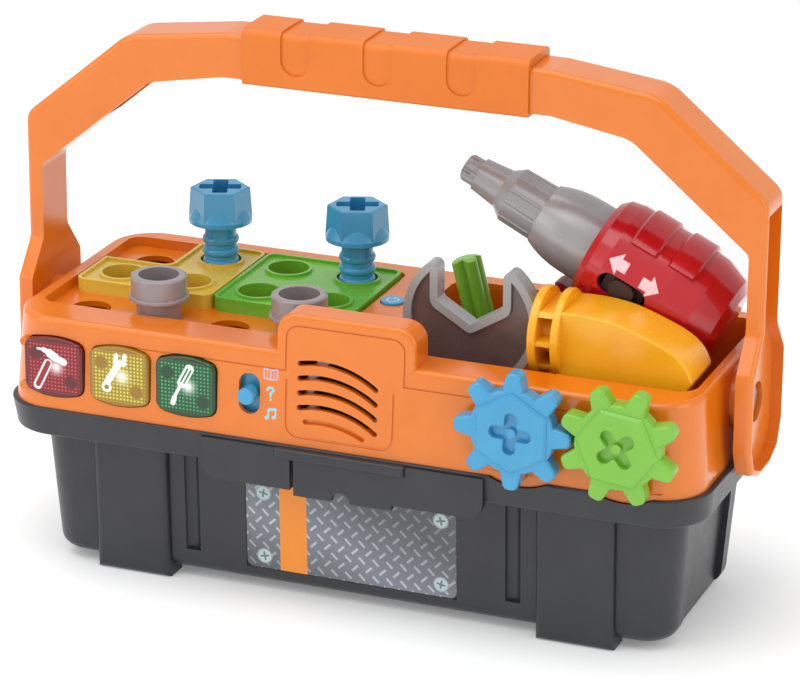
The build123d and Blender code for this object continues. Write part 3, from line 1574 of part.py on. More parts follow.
def ribs_wedge():
    """Upper sector of the drill's body that carries the grip ribs."""
    reach = 2 * drill_body_radius
    y = reach * math.sin(math.radians(rib_panel_angle))
    z = reach * math.cos(math.radians(rib_panel_angle))
    return prism_yz([(0, 0), (y, z), (-y, z)], 0, drill_body_length)


def drill_chuck():
    bell = [(-chuck_base_land, 0, chuck_base_radius)]
    bell += [(-along, 0, radius) for along, radius in chuck_bell_stations]
    bell.append((-chuck_cone_length, 0, chuck_cone_radius))
    land = [(chuck_inset, 0, 0), (chuck_inset, 0, chuck_base_radius - drill_shell_wall),
            (0, 0, chuck_base_radius), bell[0]]
    nose = [bell[-1], (-chuck_cone_length, 0, chuck_flute_radius), (-chuck_flute_end, 0, chuck_flute_front_radius),
            (-chuck_shoulder_end, 0, chuck_collar_radius), (-chuck_collar_end, 0, chuck_collar_front_radius),
            (-chuck_collar_end, 0, 0), land[0]]
    edges = [*Polyline(*land).edges(), Spline(*bell), *Polyline(*nose).edges()]
    body = revolve(make_face(edges), Axis.X, 360)
    for k in range(chuck_flutes):
        angle = math.radians(360 / chuck_flutes * k)
        reach = chuck_flute_radius + chuck_flute_sink
        front = chuck_flute_front_radius + chuck_flute_sink
        start = (-chuck_cone_length - chuck_flute_cut, reach * math.cos(angle), reach * math.sin(angle))
        end = (-chuck_shoulder_end, front * math.cos(angle), front * math.sin(angle))
        body -= rod(start, end, chuck_flute_cut)
    body -= rod((-chuck_collar_end - overrun, 0, 0), (-bit_root, 0, 0), bit_socket_radius)
    body -= rod((chuck_inset + overrun, 0, 0), (-spindle_root, 0, 0), spindle_radius + press_gap)
    return drill_place() * body


def drill_bit():
    """Four-lobed bit in front of the collar, with a round tang in the chuck's socket."""
    root = chuck_collar_end + press_gap
    section = Circle(bit_lobe_reach)
    for k in range(4):
        angle = math.radians(90 * k + 45)
        section += Pos(bit_lobe_reach * math.cos(angle), bit_lobe_reach * math.sin(angle)) * Circle(bit_lobe_radius)
    body = extrude(Plane(origin=(-root, 0, 0), z_dir=(-1, 0, 0)) * section, bit_end - root)
    limit = rod((-root, 0, 0), (-bit_end, 0, 0), bit_lobe_reach + bit_lobe_radius)
    limit = fillet(limit.faces().sort_by(Axis.X)[0].edges(), bit_lobe_radius)
    body = body & limit
    body += rod((-bit_root, 0, 0), (-root - bit_lobe_radius, 0, 0), bit_tang_radius)
    return drill_place() * body


def drill_spindle():
    body = rod((-spindle_root, 0, 0), (spindle_end, 0, 0), spindle_radius)
    body += rod((spindle_gear_from, 0, 0), (spindle_gear_from + spindle_gear_width, 0, 0), spindle_gear_radius)
    return drill_place() * body


def drill_trigger():
    body = block(trigger_front, trigger_back, -trigger_half, trigger_half, trigger_low, trigger_top)
    front_edges = body.faces().sort_by(Axis.X)[0].edges()
    body = fillet(front_edges, trigger_round)
    scoop_z = (trigger_low + trigger_top) / 2
    scoop = trigger_scoop_radius
    body -= rod((trigger_front - scoop + trigger_scoop, -trigger_half - overrun, scoop_z),
                (trigger_front - scoop + trigger_scoop, trigger_half + overrun, scoop_z), scoop)
    return drill_place() * body


def direction_switch():
    outline = Pos((direction_from + direction_to) / 2, direction_z) * SlotOverall(
        2 * direction_half_length, 2 * direction_half)
    wall_inner = -(drill_body_radius - 3 * drill_shell_wall / 2)
    body = face_xz(outline, -drill_body_radius - direction_out, wall_inner)
    plate_outline = Pos((direction_from + direction_to) / 2, direction_z) * RectangleRounded(
        2 * (direction_half_length + direction_base_spare), 2 * (direction_slot_half + fit_gap), fit_gap * 4)
    body += face_xz(plate_outline, wall_inner, wall_inner + direction_base)
    return drill_place() * body


def drill_screws():
    bodies = []
    for x, z in shell_screw_places():
        body = rod((x, shell_screw_end, z), (x, shell_screw_seat, z), shell_screw_radius)
        body += rod((x, shell_screw_seat, z), (x, shell_screw_seat + shell_screw_head, z),
                    shell_screw_head_radius)
        bodies.append(drill_place() * body)
    return Compound(bodies)


nodes = {
    "base_tub": base_tub,
    "label_plate": label_plate,
    "join_screws": join_screws,
    "top_housing": top_housing,
    "peg_tray": peg_tray,
    "tray_liner": tray_liner,
    "tool_bin": tool_bin,
    "speaker_frame": speaker_frame,
    "speaker_cone": speaker_cone,
    "speaker_magnet": speaker_magnet,
    "circuit_board": circuit_board,
    "lamps": lamps,
    "button_switches": button_switches,
    "mode_switch": mode_switch,
    "power_switch": power_switch,
    "battery_case": battery_case,
    "battery_contacts": battery_contacts,
    "battery_door": battery_door,
    "gear_axles": gear_axles,
    "handle_frame": handle_frame,
    "handle_pivots": handle_pivots,
    "grip_cover": grip_cover,
    "grip_base": grip_base,
    "mode_slider": mode_slider,
    "power_button": power_button,
    "wrench": wrench,
    "hammer_head": hammer_head,
    "hammer_handle": hammer_handle,
    "screwdriver_shaft": screwdriver_shaft,
    "screwdriver_handle": screwdriver_handle,
    "drill_chuck": drill_chuck,
    "drill_bit": drill_bit,
    "drill_spindle": drill_spindle,
    "drill_trigger": drill_trigger,
    "drill_direction_switch": direction_switch,
    "drill_screws": drill_screws,
    "drill_shell_front": lambda: drill_shell(-1),
    "drill_shell_back": lambda: drill_shell(1),
    "door_screw": lambda: screw(door_screw_x, 0, tub_bottom + fit_gap / 2, screw_length),
    "button_red": lambda: button_lens(button_centres[0]),
    "button_yellow": lambda: button_lens(button_centres[1]),
    "button_green": lambda: button_lens(button_centres[2]),
    "gear_blue": lambda: gear(gear_centres[0], blue_gear_turn, blue_cross_turn),
    "gear_green": lambda: gear(gear_centres[1], 180 / gear_teeth - blue_gear_turn, green_cross_turn),
    "plate_yellow": lambda: plate(yellow_cells, True),
    "plate_green": lambda: plate(green_cells, False),
    "bolt_left": lambda: bolt(peg_x[1], peg_y[2], bolt_turn),
    "bolt_right": lambda: bolt(peg_x[3], peg_y[2], bolt_turn),
    "nail_left": lambda: nail(peg_x[1], peg_y[0]),
    "nail_right": lambda: nail(peg_x[3], peg_y[0]),
    "battery_1": lambda: battery(battery_x[0]),
    "battery_2": lambda: battery(battery_x[1]),
    "battery_3": lambda: battery(battery_x[2]),
}

# The gears stand out at the front, so everything moves back until the origin lies under the
# middle of the whole object
gear_front = gear_back + gear_thickness + gear_hex_height
centring = Pos(0, (gear_front - flange_half_depth) / 2, 0)

os.makedirs("parts", exist_ok=True)
for name, make in nodes.items():
    export_step(centring * make(), "parts/" + name + ".step")
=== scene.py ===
import math

import bpy
import numpy as np
from mathutils import Matrix

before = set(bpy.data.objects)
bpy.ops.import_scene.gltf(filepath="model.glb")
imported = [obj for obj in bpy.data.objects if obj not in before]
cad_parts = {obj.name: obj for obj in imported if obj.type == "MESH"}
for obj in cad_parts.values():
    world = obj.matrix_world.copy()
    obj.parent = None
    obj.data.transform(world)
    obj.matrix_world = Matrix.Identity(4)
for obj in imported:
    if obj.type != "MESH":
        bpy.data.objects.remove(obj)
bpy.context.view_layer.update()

MM = 0.001
DEEP = 5.2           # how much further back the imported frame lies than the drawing, in mm
TINY = 1e-6          # keeps a stroke of no length from dividing by nought
DIAGONAL = 0.7071    # share of each axis in a step along the diagonal


# Shader maths

class Num:
    """A number socket of one finish, used in ordinary arithmetic."""

    def __init__(self, finish, socket):
        self.finish = finish
        self.socket = socket

    def op(self, operation, *others):
        return self.finish.math(operation, self, *others)

    def __add__(self, other):
        return self.op("ADD", other)

    def __sub__(self, other):
        return self.op("SUBTRACT", other)

    def __rsub__(self, other):
        return self.finish.math("SUBTRACT", other, self)

    def __mul__(self, other):
        return self.op("MULTIPLY", other)

    def __truediv__(self, other):
        return self.op("DIVIDE", other)

    def __rtruediv__(self, other):
        return self.finish.math("DIVIDE", other, self)

    __radd__ = __add__
    __rmul__ = __mul__

    def size(self):
        """The number without its sign."""
        return self.op("ABSOLUTE")

    def larger(self, other):
        return self.op("MAXIMUM", other)

    def above(self, edge, soft):
        """0 below the edge and 1 above it, over a soft band."""
        return self.finish.node("ShaderNodeMapRange", {"Value": self, "From Min": edge - soft / 2,
                                                       "From Max": edge + soft / 2})

    def below(self, edge, soft):
        return 1 - self.above(edge, soft)


class Finish:
    """One procedural material. Patterns read the Object coordinates, in millimetres."""

    def __init__(self, name, **constants):
        self.material = bpy.data.materials.new(name)
        self.material.use_nodes = True
        self.tree = self.material.node_tree
        self.shader = self.tree.nodes["Principled BSDF"]
        for socket, value in constants.items():
            self.shader.inputs[socket.replace("_", " ")].default_value = value
        place = self.node("ShaderNodeTexCoord", whole=True)
        self.mm = self.node("ShaderNodeVectorMath", [place.outputs["Object"], (1 / MM, 1 / MM, 1 / MM)],
                            operation="MULTIPLY")
        split = self.node("ShaderNodeSeparateXYZ", [self.mm], whole=True)
        self.x, self.y, self.z = (Num(self, split.outputs[i]) for i in range(3))

    def node(self, kind, values=(), whole=False, output=0, **settings):
        """Adds a node: settings first, then the values or links of its sockets."""
        node = self.tree.nodes.new(kind)
        for key, value in settings.items():
            setattr(node, key, value)
        for key, value in (values.items() if isinstance(values, dict) else enumerate(values)):
            link = value.socket if isinstance(value, Num) else value
            if isinstance(link, bpy.types.NodeSocket):
                self.tree.links.new(link, node.inputs[key])
            elif link is not None:
                node.inputs[key].default_value = link
        if whole:
            return node
        made = node.outputs[output]
        return Num(self, made) if made.type == "VALUE" else made

    def math(self, operation, *values):
        return self.node("ShaderNodeMath", list(values), operation=operation)

    def noise(self, scale, detail, rough):
        """Noise from 0 to 1, with the scale in waves per millimetre."""
        return self.node("ShaderNodeTexNoise", {"Vector": self.mm, "Scale": scale,
                                                "Detail": detail, "Roughness": rough})

    def blend(self, low, high, share):
        """Colour between two colours."""
        return self.node("ShaderNodeMix", {0: share, 6: low, 7: high}, output=2, data_type="RGBA")

    def bump(self, height, strength=1.0):
        """Relief, with its height in millimetres."""
        self.give("Normal", self.node("ShaderNodeBump", {"Height": height, "Distance": MM,
                                                         "Strength": strength}))

    def stroke(self, u, v, start, end, half):
        """1 within half a width of the straight line between two points of a plane, else 0."""
        soft_edge = 0.25
        run, rise = end[0] - start[0], end[1] - start[1]
        square = max(run * run + rise * rise, TINY)
        share = (u - start[0]) * (run / square) + (v - start[1]) * (rise / square)
        share = share.larger(0).op("MINIMUM", 1)
        off_u = u - start[0] - share * run
        off_v = v - start[1] - share * rise
        return (off_u * off_u + off_v * off_v).op("SQRT").below(half, soft_edge)

    def drawing(self, u, v, strokes):
        """Union of strokes, each written as start, end and half width."""
        made = None
        for start, end, half in strokes:
            line = self.stroke(u, v, start, end, half)
            made = line if made is None else made.larger(line)
        return made

    def print_over(self, *prints):
        """Lays prints, each a colour and a share, over the colour that the finish has."""
        colour = self.shader.inputs["Base Color"].links[0].from_socket
        for ink, share in prints:
            colour = self.blend(colour, ink, share)
        self.give("Base Color", colour)

    def give(self, socket, value):
        link = value.socket if isinstance(value, Num) else value
        self.tree.links.new(link, self.shader.inputs[socket])


def tint(red, green, blue):
    """Screen colour from 0 to 255 as the linear colour a shader takes."""
    def linear(value):
        value /= 255
        return value / 12.92 if value <= 0.04045 else ((value + 0.055) / 1.055) ** 2.4
    return (linear(red), linear(green), linear(blue), 1)


def moulded(name, colour, deep, rough=0.32, grain=0.012, coat=0.0, **constants):
    """Moulded plastic: faint flow marks in the colour, uneven gloss and a fine orange-peel skin."""
    finish = Finish(name, Coat_Roughness=0.12, **constants)
    flow = finish.noise(0.035, 3, 0.6)
    skin = finish.noise(0.9, 2, 0.55)
    rub = finish.noise(0.16, 4, 0.65)
    share = (flow * 0.75 + rub * 0.25).above(0.5, 0.5)
    finish.give("Base Color", finish.blend(deep, colour, share))
    finish.give("Roughness", rough + (rub - 0.5) * 0.16 + (skin - 0.5) * 0.05)
    if coat:
        finish.give("Coat Weight", coat + (rub - 0.5) * 0.1)
    finish.bump(skin * grain + rub * grain * 1.5)
    return finish


# Finishes

BLACK = (0, 0, 0, 1)
WHITE = (1, 1, 1, 1)
CHALK = tint(240, 240, 238)
ORANGE = (tint(228, 122, 16), tint(220, 112, 12))
BLUE = (tint(64, 158, 204), tint(54, 146, 192))
RED = (tint(196, 20, 34), tint(178, 12, 26))

orange = moulded("orange_housing_plastic", *ORANGE, 0.22, coat=0.35)
orange_bin = moulded("orange_bin_plastic", tint(224, 104, 18), tint(212, 92, 14), 0.34)
red_liner = moulded("red_liner_plastic", tint(214, 44, 24), tint(190, 32, 18), 0.4)
grip_finish = moulded("soft_grip_orange", tint(226, 120, 24), tint(216, 110, 18), 0.42, 0.02)
charcoal = moulded("charcoal_tub_plastic", tint(48, 49, 53), tint(38, 39, 43), 0.34, 0.02)
sky_blue = moulded("sky_blue_plastic", *BLUE, 0.22, coat=0.25)
lime = moulded("lime_green_plastic", tint(126, 190, 62), tint(110, 178, 48), 0.24, coat=0.2)
tray_lime = moulded("peg_plate_green", tint(116, 190, 52), tint(96, 176, 40), 0.26, coat=0.25)
tray_yellow = moulded("peg_plate_yellow", tint(226, 196, 70), tint(214, 178, 52), 0.26, coat=0.25)
amber = moulded("amber_hammer_plastic", tint(250, 186, 30), tint(242, 168, 20), 0.26, coat=0.25)
drill_red = moulded("red_drill_plastic", *RED, 0.22, coat=0.4)
# Painted shade: the drill trigger gets a darker copy of the drill's red, standing in for the shade it sits in
# under the drill.
painted_shade_drill_red = moulded("drill_red_painted_shade_plastic", tint(150, 16, 28), tint(128, 10, 20), 0.3, coat=0.2)
grey_brown = moulded("grey_brown_switch_plastic", tint(58, 44, 46), tint(44, 32, 34), 0.4)
silver = moulded("silver_grey_plastic", tint(150, 140, 142), tint(136, 126, 128), 0.24, coat=0.4)
chuck_grey = moulded("chuck_silver_plastic", tint(170, 170, 170), tint(156, 156, 158), 0.3, coat=0.2,
                     Metallic=0.25)
dark_parts = moulded("dark_inner_plastic", tint(36, 36, 38), tint(28, 28, 30), 0.5)
white_lamp = moulded("milky_lamp_resin", tint(240, 240, 232), tint(228, 228, 220), 0.2)


def bare_steel():
    """Zinc-plated steel: fine turning marks and cloudy plating."""
    finish = Finish("plated_steel", Metallic=1.0)
    cloud = finish.noise(0.5, 3, 0.6)
    marks = finish.noise(6, 2, 0.7)
    finish.give("Base Color", finish.blend(tint(178, 180, 184), tint(214, 214, 212), cloud))
    finish.give("Roughness", 0.24 + cloud * 0.16)
    finish.bump(marks * 0.01)
    return finish


def board():
    """Circuit board: green lacquer, paler over raised tracks that follow a fine net."""
    finish = Finish("board_lacquer")
    upright_pitch, level_pitch = 2.6, 3.4
    uprights = ((finish.x / upright_pitch).op("FRACT") - 0.5).size().below(0.09, 0.04)
    levels = ((finish.z / level_pitch).op("FRACT") - 0.5).size().below(0.08, 0.04)
    gate = finish.noise(0.12, 1, 0.5).above(0.52, 0.06)
    tracks = uprights * gate + levels * (1 - gate)
    finish.give("Base Color", finish.blend(tint(18, 92, 52), tint(58, 132, 66), tracks))
    finish.give("Roughness", 0.36 - tracks * 0.12)
    finish.bump(tracks * 0.05)
    return finish


def paper():
    """Speaker paper: short dark fibres."""
    finish = Finish("speaker_paper")
    fibre = finish.noise(1.4, 4, 0.7)
    finish.give("Base Color", finish.blend(tint(22, 20, 20), tint(52, 48, 46), fibre))
    finish.give("Roughness", 0.62 + fibre * 0.2)
    finish.bump(fibre * 0.06)
    return finish


def cell():
    """Battery jacket: plain dark sleeve with a copper-coloured end band."""
    finish = Finish("cell_sleeve", Metallic=0.6)
    band_from = 15.5
    band = finish.y.above(band_from + DEEP, 0.3)
    cloud = finish.noise(0.3, 2, 0.5)
    finish.give("Base Color", finish.blend(tint(34, 36, 40), tint(190, 132, 70), band))
    finish.give("Roughness", 0.26 + cloud * 0.1)
    return finish


def wrench_face():
    """Wrench: light grey rim, and a brown-grey face where the plate is sunk on both sides."""
    finish = moulded("wrench_two_tone_plastic", tint(166, 168, 168), tint(152, 154, 154), 0.26, coat=0.3)
    middle, sunk_half = DEEP - 19.8, 3.4
    normal = finish.node("ShaderNodeNewGeometry", output=1)
    facing = finish.node("ShaderNodeSeparateXYZ", [normal], output=1).size().above(0.9, 0.1)
    sunk = facing * (finish.y - middle).size().below(sunk_half, 0.2)
    cloud = finish.noise(0.12, 3, 0.6)
    finish.print_over((finish.blend(tint(92, 76, 72), tint(112, 96, 92), cloud), sunk))
    return finish


def printed_housing():
    """Orange housing with three small prints beside the slider: a book, a question mark and a note."""
    finish = moulded("orange_printed_housing", *ORANGE, 0.22, coat=0.35)
    print_x, front_y, book_z, mark_z, note_z = -29.6, -55, 105, 96.6, 87.9
    u = finish.x - print_x
    front = finish.y.below(front_y + DEEP, 1)
    book = finish.drawing(u, finish.z - book_z, [
        ((-3, -2), (-3, 2.2), 0.3), ((-3, 2.2), (0, 1.6), 0.3), ((0, 1.6), (3, 2.2), 0.3),
        ((3, 2.2), (3, -2), 0.3), ((3, -2), (0, -2.4), 0.3), ((0, -2.4), (-3, -2), 0.3),
        ((0, 1.6), (0, -2.4), 0.3), ((-1.5, 1.1), (-1.5, -1.5), 0.2), ((1.5, 1.1), (1.5, -1.5), 0.2)])
    mark = finish.drawing(u, finish.z - mark_z, [
        ((-1.4, 1.5), (-0.7, 2.5), 0.5), ((-0.7, 2.5), (0.8, 2.5), 0.5), ((0.8, 2.5), (1.4, 1.5), 0.5),
        ((1.4, 1.5), (0.1, 0), 0.5), ((0.1, 0), (0.1, -1), 0.5), ((0.1, -2.6), (0.1, -2.6), 0.55)])
    note = finish.drawing(u, finish.z - note_z, [
        ((-1.6, -1.9), (-1.4, -1.8), 0.8), ((1.6, -1.4), (1.8, -1.3), 0.8), ((-0.8, -1.8), (-0.8, 1.9), 0.35),
        ((2.4, -1.3), (2.4, 2.4), 0.35), ((-0.8, 1.7), (2.4, 2.2), 0.55)])
    finish.print_over((tint(196, 176, 206), book * front), (tint(140, 208, 224), mark.larger(note) * front))
    return finish


def power_mark():
    """Blue button with the plain power sign: a broken ring and a bar."""
    finish = moulded("printed_power_button", *BLUE, 0.22, coat=0.3)
    button_x, button_y, top_from, ring_radius = -5.2, 13, 115.6, 2.5
    u = finish.x - button_x
    v = finish.y - DEEP - button_y
    ring = ((u * u + v * v).op("SQRT") - ring_radius).size().below(0.4, 0.2)
    bar = finish.stroke(u, v, (0, 1.2), (0, 3.4), 0.35)
    gap = finish.stroke(u, v, (0, 1.2), (0, 3.6), 0.9)
    sign = (ring * (1 - gap)).larger(bar) * finish.z.above(top_from, 0.2)
    finish.print_over((tint(150, 212, 240), sign))
    return finish


def arrowed_drill():
    """Red drill half with two pale arrows above the direction slot, drawn in the drill's own axes."""
    finish = moulded("red_arrow_drill_plastic", *RED, 0.2, coat=0.5)
    drill_x, drill_z, tilt = 84.15, 150.6, math.radians(25.4)
    across = finish.x - drill_x
    high = finish.z - drill_z
    u = across * math.cos(tilt) - high * math.sin(tilt)
    v = across * math.sin(tilt) + high * math.cos(tilt)
    head_slope, head_end, shaft_half, shaft_from, shaft_end = 0.92, 4.9, 2.3, 4.5, 8.6
    for tip_u, tip_v, heading in ((9.8, 8.8, 1), (34.4, 7.2, -1)):
        along = (u - tip_u) * heading
        side = (v - tip_v).size()
        head = (side - along * head_slope).below(0, 0.3) * along.below(head_end, 0.3) * along.above(0, 0.2)
        shaft = side.below(shaft_half, 0.3) * along.above(shaft_from, 0.2) * along.below(shaft_end, 0.3)
        finish.print_over((tint(244, 206, 212), head.larger(shaft)))
    return finish


def label():
    """Printed plate: tread dashes in two crossed nets, one orange stripe and four printed screw heads, under
    a painted sheen band.
    """
    finish = Finish("printed_label", Coat_Weight=0.25, Coat_Roughness=0.2)
    net_wide, net_high, dash_half, dash_reach = 6.2, 7.7, 0.5, 1.9
    dash = None
    for offset, lean in ((0.2, 1), (0.7, -1)):
        fu = ((finish.x / net_wide + offset).op("FRACT") - 0.5) * net_wide
        fv = ((finish.z / net_high + offset).op("FRACT") - 0.5) * net_high
        along = (fu * lean + fv) * DIAGONAL
        across = (fu * lean - fv) * DIAGONAL
        line = across.size().below(dash_half, 0.25) * along.size().below(dash_reach, 0.3)
        dash = line if dash is None else dash.larger(line)
    # Painted sheen: a lighter diagonal band, its edge wavered by noise, is painted across the plate and its
    # dashes.
    lit = finish.noise(0.02, 1, 0.5)
    sheen_z, sheen_half, sheen_slope, sheen_drift = 24, 26, 0.35, 24
    sheen = finish.x * sheen_slope + finish.z - sheen_z + (lit - 0.5) * sheen_drift
    band = 1 - (sheen / sheen_half).size().op("MINIMUM", 1)
    stripe_x, stripe_half = -25.9, 6.1
    stripe = (finish.x - stripe_x).size().below(stripe_half, 0.12)
    middle_x, middle_z, screw_x, screw_z, screw_turn = 0.55, 31.1, 39.75, 14.5, 0.2
    head_radius, rim_radius, cross_reach, cross_half = 3.45, 2.9, 2.0, 0.42
    px = (finish.x - middle_x).size() - screw_x
    pz = (finish.z - middle_z).size() - screw_z
    reach = (px * px + pz * pz).op("SQRT")
    turned_x = px * math.cos(screw_turn) + pz * math.sin(screw_turn)
    turned_z = pz * math.cos(screw_turn) - px * math.sin(screw_turn)
    bars = turned_x.size().below(cross_half, 0.1).larger(turned_z.size().below(cross_half, 0.1))
    # the plate and the dashes are lighter inside the painted sheen band
    plate_colour = finish.blend(tint(84, 86, 90), tint(124, 128, 138), band)
    dash_colour = finish.blend(tint(128, 130, 134), tint(190, 194, 202), band)
    screw_colour = finish.blend(tint(182, 200, 200), tint(142, 164, 166), reach.above(rim_radius, 0.5))
    finish.give("Base Color", finish.blend(plate_colour, dash_colour, dash))
    finish.print_over((tint(240, 140, 26), stripe), (screw_colour, reach.below(head_radius, 0.15)),
                      (tint(96, 116, 118), bars * reach.below(cross_reach, 0.1)))
    grain = finish.noise(2.2, 3, 0.6)
    finish.give("Roughness", 0.34 + grain * 0.1)
    finish.bump(dash * 0.02 + grain * 0.008)
    return finish


def lens(name, dark, clear, glint, centre_x, drawings):
    """Clear coloured cap: rows of small prisms, two round posts, a picture, painted glints on the prisms and
    a painted lamp glow that the cap itself emits.
    """
    finish = Finish(name, Coat_Weight=0.3, Coat_Roughness=0.08)
    centre_z, pitch, post_x, post_z, post_radius = 94.6, 1.6, 8.0, 5.6, 2.9
    rim_x, rim_z, glow_x, glow_z, glow_radius, glow_fall = 11.6, 10.6, 1.4, 0.4, 5.6, 2.2
    px = finish.x - centre_x
    pz = finish.z - centre_z
    fu = (px / pitch + 40).op("FRACT") - 0.5
    fv = (pz / pitch + 40.5).op("FRACT") - 0.5
    prism = 1 - fu.size().larger(fv.size()) * 2
    shade = finish.noise(0.06, 2, 0.5)
    plain = px.size().above(rim_x, 1.4).larger(pz.size().above(rim_z, 1.8))
    for side in (1, -1):
        off_x = px + side * post_x
        off_z = pz - side * post_z
        plain = plain.larger((off_x * off_x + off_z * off_z).op("SQRT").below(post_radius, 0.5))
    off_x = px - glow_x
    off_z = pz - glow_z
    glow = (1 - (off_x * off_x + off_z * off_z).op("SQRT") / glow_radius).larger(0).op("POWER", glow_fall)
    clearness = prism.above(0.3, 0.6) * (0.55 + shade * 0.5) * (1 - plain)
    finish.give("Base Color", finish.blend(dark, clear, clearness))
    # Painted highlight: the glint colour on the prism tops, and a white painted glow spot laid into the
    # colour.
    finish.print_over((glint, prism.above(0.62, 0.3) * (1 - plain) * (shade + 0.1)), (WHITE, glow * 0.75))
    finish.print_over(*((ink, finish.drawing(px, pz, strokes)) for ink, strokes in drawings))
    # Painted glow: the cap itself emits light around the glow spot, though it is no lamp.
    finish.give("Emission Color", finish.blend(BLACK, finish.blend(glint, WHITE, glow), glow))
    finish.shader.inputs["Emission Strength"].default_value = 0.6
    finish.give("Roughness", 0.12 + shade * 0.08)
    finish.bump(prism * 0.12 * (1 - plain), 0.5)
    return finish


steel = bare_steel()
red_x, yellow_x, green_x = -127.7, -97.45, -67.2     # middles of the three lit buttons
hammer_picture = [
    (CHALK, [((-2.4, 1.6), (-7.4, -8.6), 1.9)]),
    (tint(150, 14, 26), [((-2.2, 1.8), (-7.2, -8.2), 1.15)]),
    (CHALK, [((-7, 7.7), (-4.2, 7.5), 0.5), ((-4.2, 7.5), (-1.5, 6.2), 1.1), ((-1.5, 6.2), (1.2, 4.6), 1.9),
             ((1.2, 4.6), (5.0, 3.1), 1.5)])]
wrench_picture = [
    (CHALK, [((-0.9, 9.6), (-1.4, 6.6), 1.0), ((2.9, 9.8), (2.4, 6.8), 1.0), ((-1.2, 6.2), (2.4, 6.4), 1.3),
             ((-0.2, 5.6), (-5.2, -2.6), 1.5), ((-5.6, -5), (-5.6, -5), 2.3)]),
    (tint(150, 128, 20), [((-5.6, -5), (-5.6, -5), 1.1)])]
driver_picture = [
    (CHALK, [((2.1, 8.3), (-1.5, 1.6), 2.0), ((-1.9, 1.0), (-4.7, -4.6), 0.7),
             ((-4.9, -5.2), (-5.6, -7.6), 1.1)]),
    (tint(20, 120, 60), [((2.7, 7.6), (-0.4, 1.8), 0.4), ((1.3, 8.2), (-1.8, 2.4), 0.4)])]
red_lens = lens("red_lens_resin", tint(92, 4, 12), tint(176, 20, 32), tint(232, 90, 100),
                red_x, hammer_picture)
yellow_lens = lens("yellow_lens_resin", tint(150, 110, 10), tint(196, 186, 40), tint(244, 246, 130),
                   yellow_x, wrench_picture)
green_lens = lens("green_lens_resin", tint(4, 60, 26), tint(16, 116, 58), tint(100, 206, 136),
                  green_x, driver_picture)

FINISHES = {
    orange: ["peg_tray", "handle_frame", "screwdriver_handle"],
    printed_housing(): ["top_housing"],
    power_mark(): ["power_button"],
    arrowed_drill(): ["drill_shell_front"],
    orange_bin: ["tool_bin"],
    red_liner: ["tray_liner"],
    grip_finish: ["grip_cover", "grip_base"],
    charcoal: ["base_tub", "battery_case", "battery_door"],
    sky_blue: ["mode_slider", "gear_blue", "bolt_left", "bolt_right"],
    lime: ["gear_green", "screwdriver_shaft"],
    tray_lime: ["plate_green"],
    tray_yellow: ["plate_yellow"],
    amber: ["hammer_head"],
    drill_red: ["drill_shell_back", "hammer_handle"],
    # the trigger takes the darker painted-shade copy of the drill red
    painted_shade_drill_red: ["drill_trigger"],
    grey_brown: ["drill_direction_switch"],
    silver: ["nail_left", "nail_right"],
    wrench_face(): ["wrench"],
    chuck_grey: ["drill_chuck", "drill_bit"],
    dark_parts: ["button_switches", "mode_switch", "power_switch"],
    white_lamp: ["lamps"],
    steel: ["join_screws", "speaker_frame", "speaker_magnet", "battery_contacts", "door_screw", "gear_axles",
            "handle_pivots", "drill_spindle", "drill_screws"],
    board(): ["circuit_board"],
    paper(): ["speaker_cone"],
    cell(): ["battery_1", "battery_2", "battery_3"],
    label(): ["label_plate"],
    red_lens: ["button_red"],
    yellow_lens: ["button_yellow"],
    green_lens: ["button_green"],
}
for finish, names in FINISHES.items():
    for name in names:
        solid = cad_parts[name]
        solid.data.materials.clear()
        solid.data.materials.append(finish.material)


# Floor, light and camera, in metres

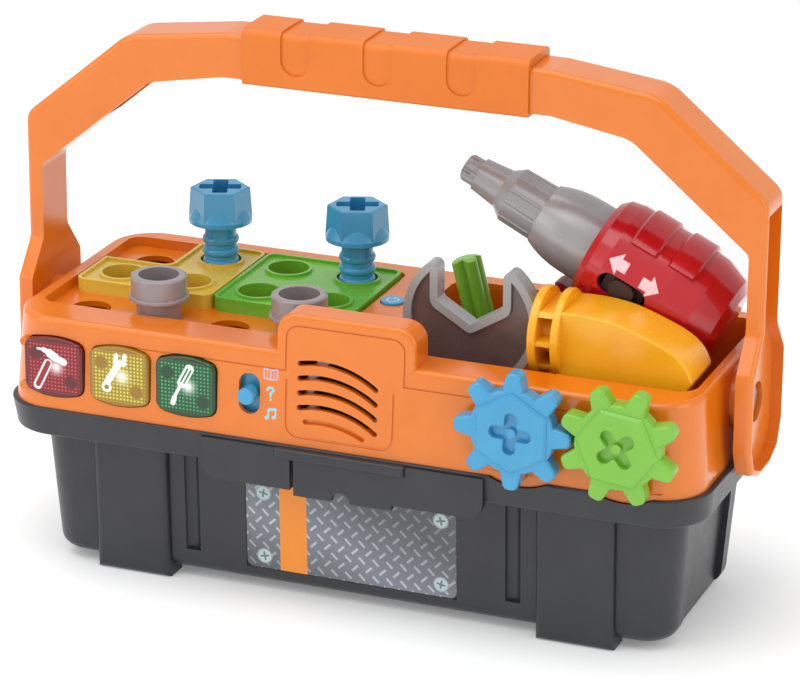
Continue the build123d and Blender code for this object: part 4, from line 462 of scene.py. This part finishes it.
floor_side, floor_front, floor_back = 4, -3, 7
floor_finish = Finish("pale_floor", Roughness=0.9, Specular_IOR_Level=0.1, Emission_Strength=0.16)
floor_finish.shader.inputs["Base Color"].default_value = (0.94, 0.94, 0.94, 1)
floor_finish.shader.inputs["Emission Color"].default_value = WHITE
floor_mesh = bpy.data.meshes.new("studio_floor")
floor_mesh.from_pydata([(-floor_side, floor_front, 0), (floor_side, floor_front, 0),
                        (floor_side, floor_back, 0), (-floor_side, floor_back, 0)], [], [(0, 1, 2, 3)])
floor_mesh.materials.append(floor_finish.material)
floor = bpy.data.objects.new("studio_floor", floor_mesh)
bpy.context.scene.collection.objects.link(floor)

world = bpy.data.worlds.new("soft_studio")
bpy.context.scene.world = world
world.use_nodes = True
sky = world.node_tree.nodes["Background"]
sky.inputs["Color"].default_value = WHITE
sky.inputs["Strength"].default_value = 0.72


def placed(thing, side, up, back, place):
    """Links a light or camera that looks against its back direction."""
    turned = np.identity(4)
    turned[:3, 0], turned[:3, 1], turned[:3, 2], turned[:3, 3] = side, up, back, place
    thing.matrix_world = Matrix(turned.tolist())
    bpy.context.scene.collection.objects.link(thing)
    return thing


def softbox(name, place, width, height, power):
    """Area light at a place, facing a point low in the middle of the box."""
    data = bpy.data.lights.new(name, "AREA")
    data.shape, data.size, data.size_y, data.energy = "RECTANGLE", width, height, power
    lamp = bpy.data.objects.new(name, data)
    aim = (0, 0, 0.1)
    back = np.array(place, float) - np.array(aim, float)
    back /= np.linalg.norm(back)
    side = np.cross((0, 0, 1), back)
    side /= np.linalg.norm(side)
    placed(lamp, side, np.cross(back, side), back, place)


softbox("overhead_softbox", (-0.3, -0.4, 1.7), 2.0, 1.6, 17)
softbox("front_left_softbox", (-1.5, -1.5, 0.9), 1.4, 1.4, 8)
softbox("right_softbox", (1.6, -0.3, 0.8), 0.9, 1.2, 5)

eye = np.array([0.55342712, -1.40554890, 0.66173527])
right = np.array([0.93078338, 0.36551571, 0.00636847])
up = np.array([-0.13244723, 0.32093659, 0.93779392])
forward = np.array([-0.34073453, 0.87372649, -0.34713399])
picture_width = 800
focal_pixels = 3836.6686
camera_data = bpy.data.cameras.new("studio_camera")
camera_data.sensor_fit = "HORIZONTAL"
camera_data.sensor_width = 36
camera_data.lens = camera_data.sensor_width * focal_pixels / picture_width
camera_data.clip_end = 30
camera = bpy.data.objects.new("studio_camera", camera_data)
bpy.context.scene.camera = placed(camera, right, up, -forward, eye)
bpy.context.scene.view_settings.view_transform = "Standard"
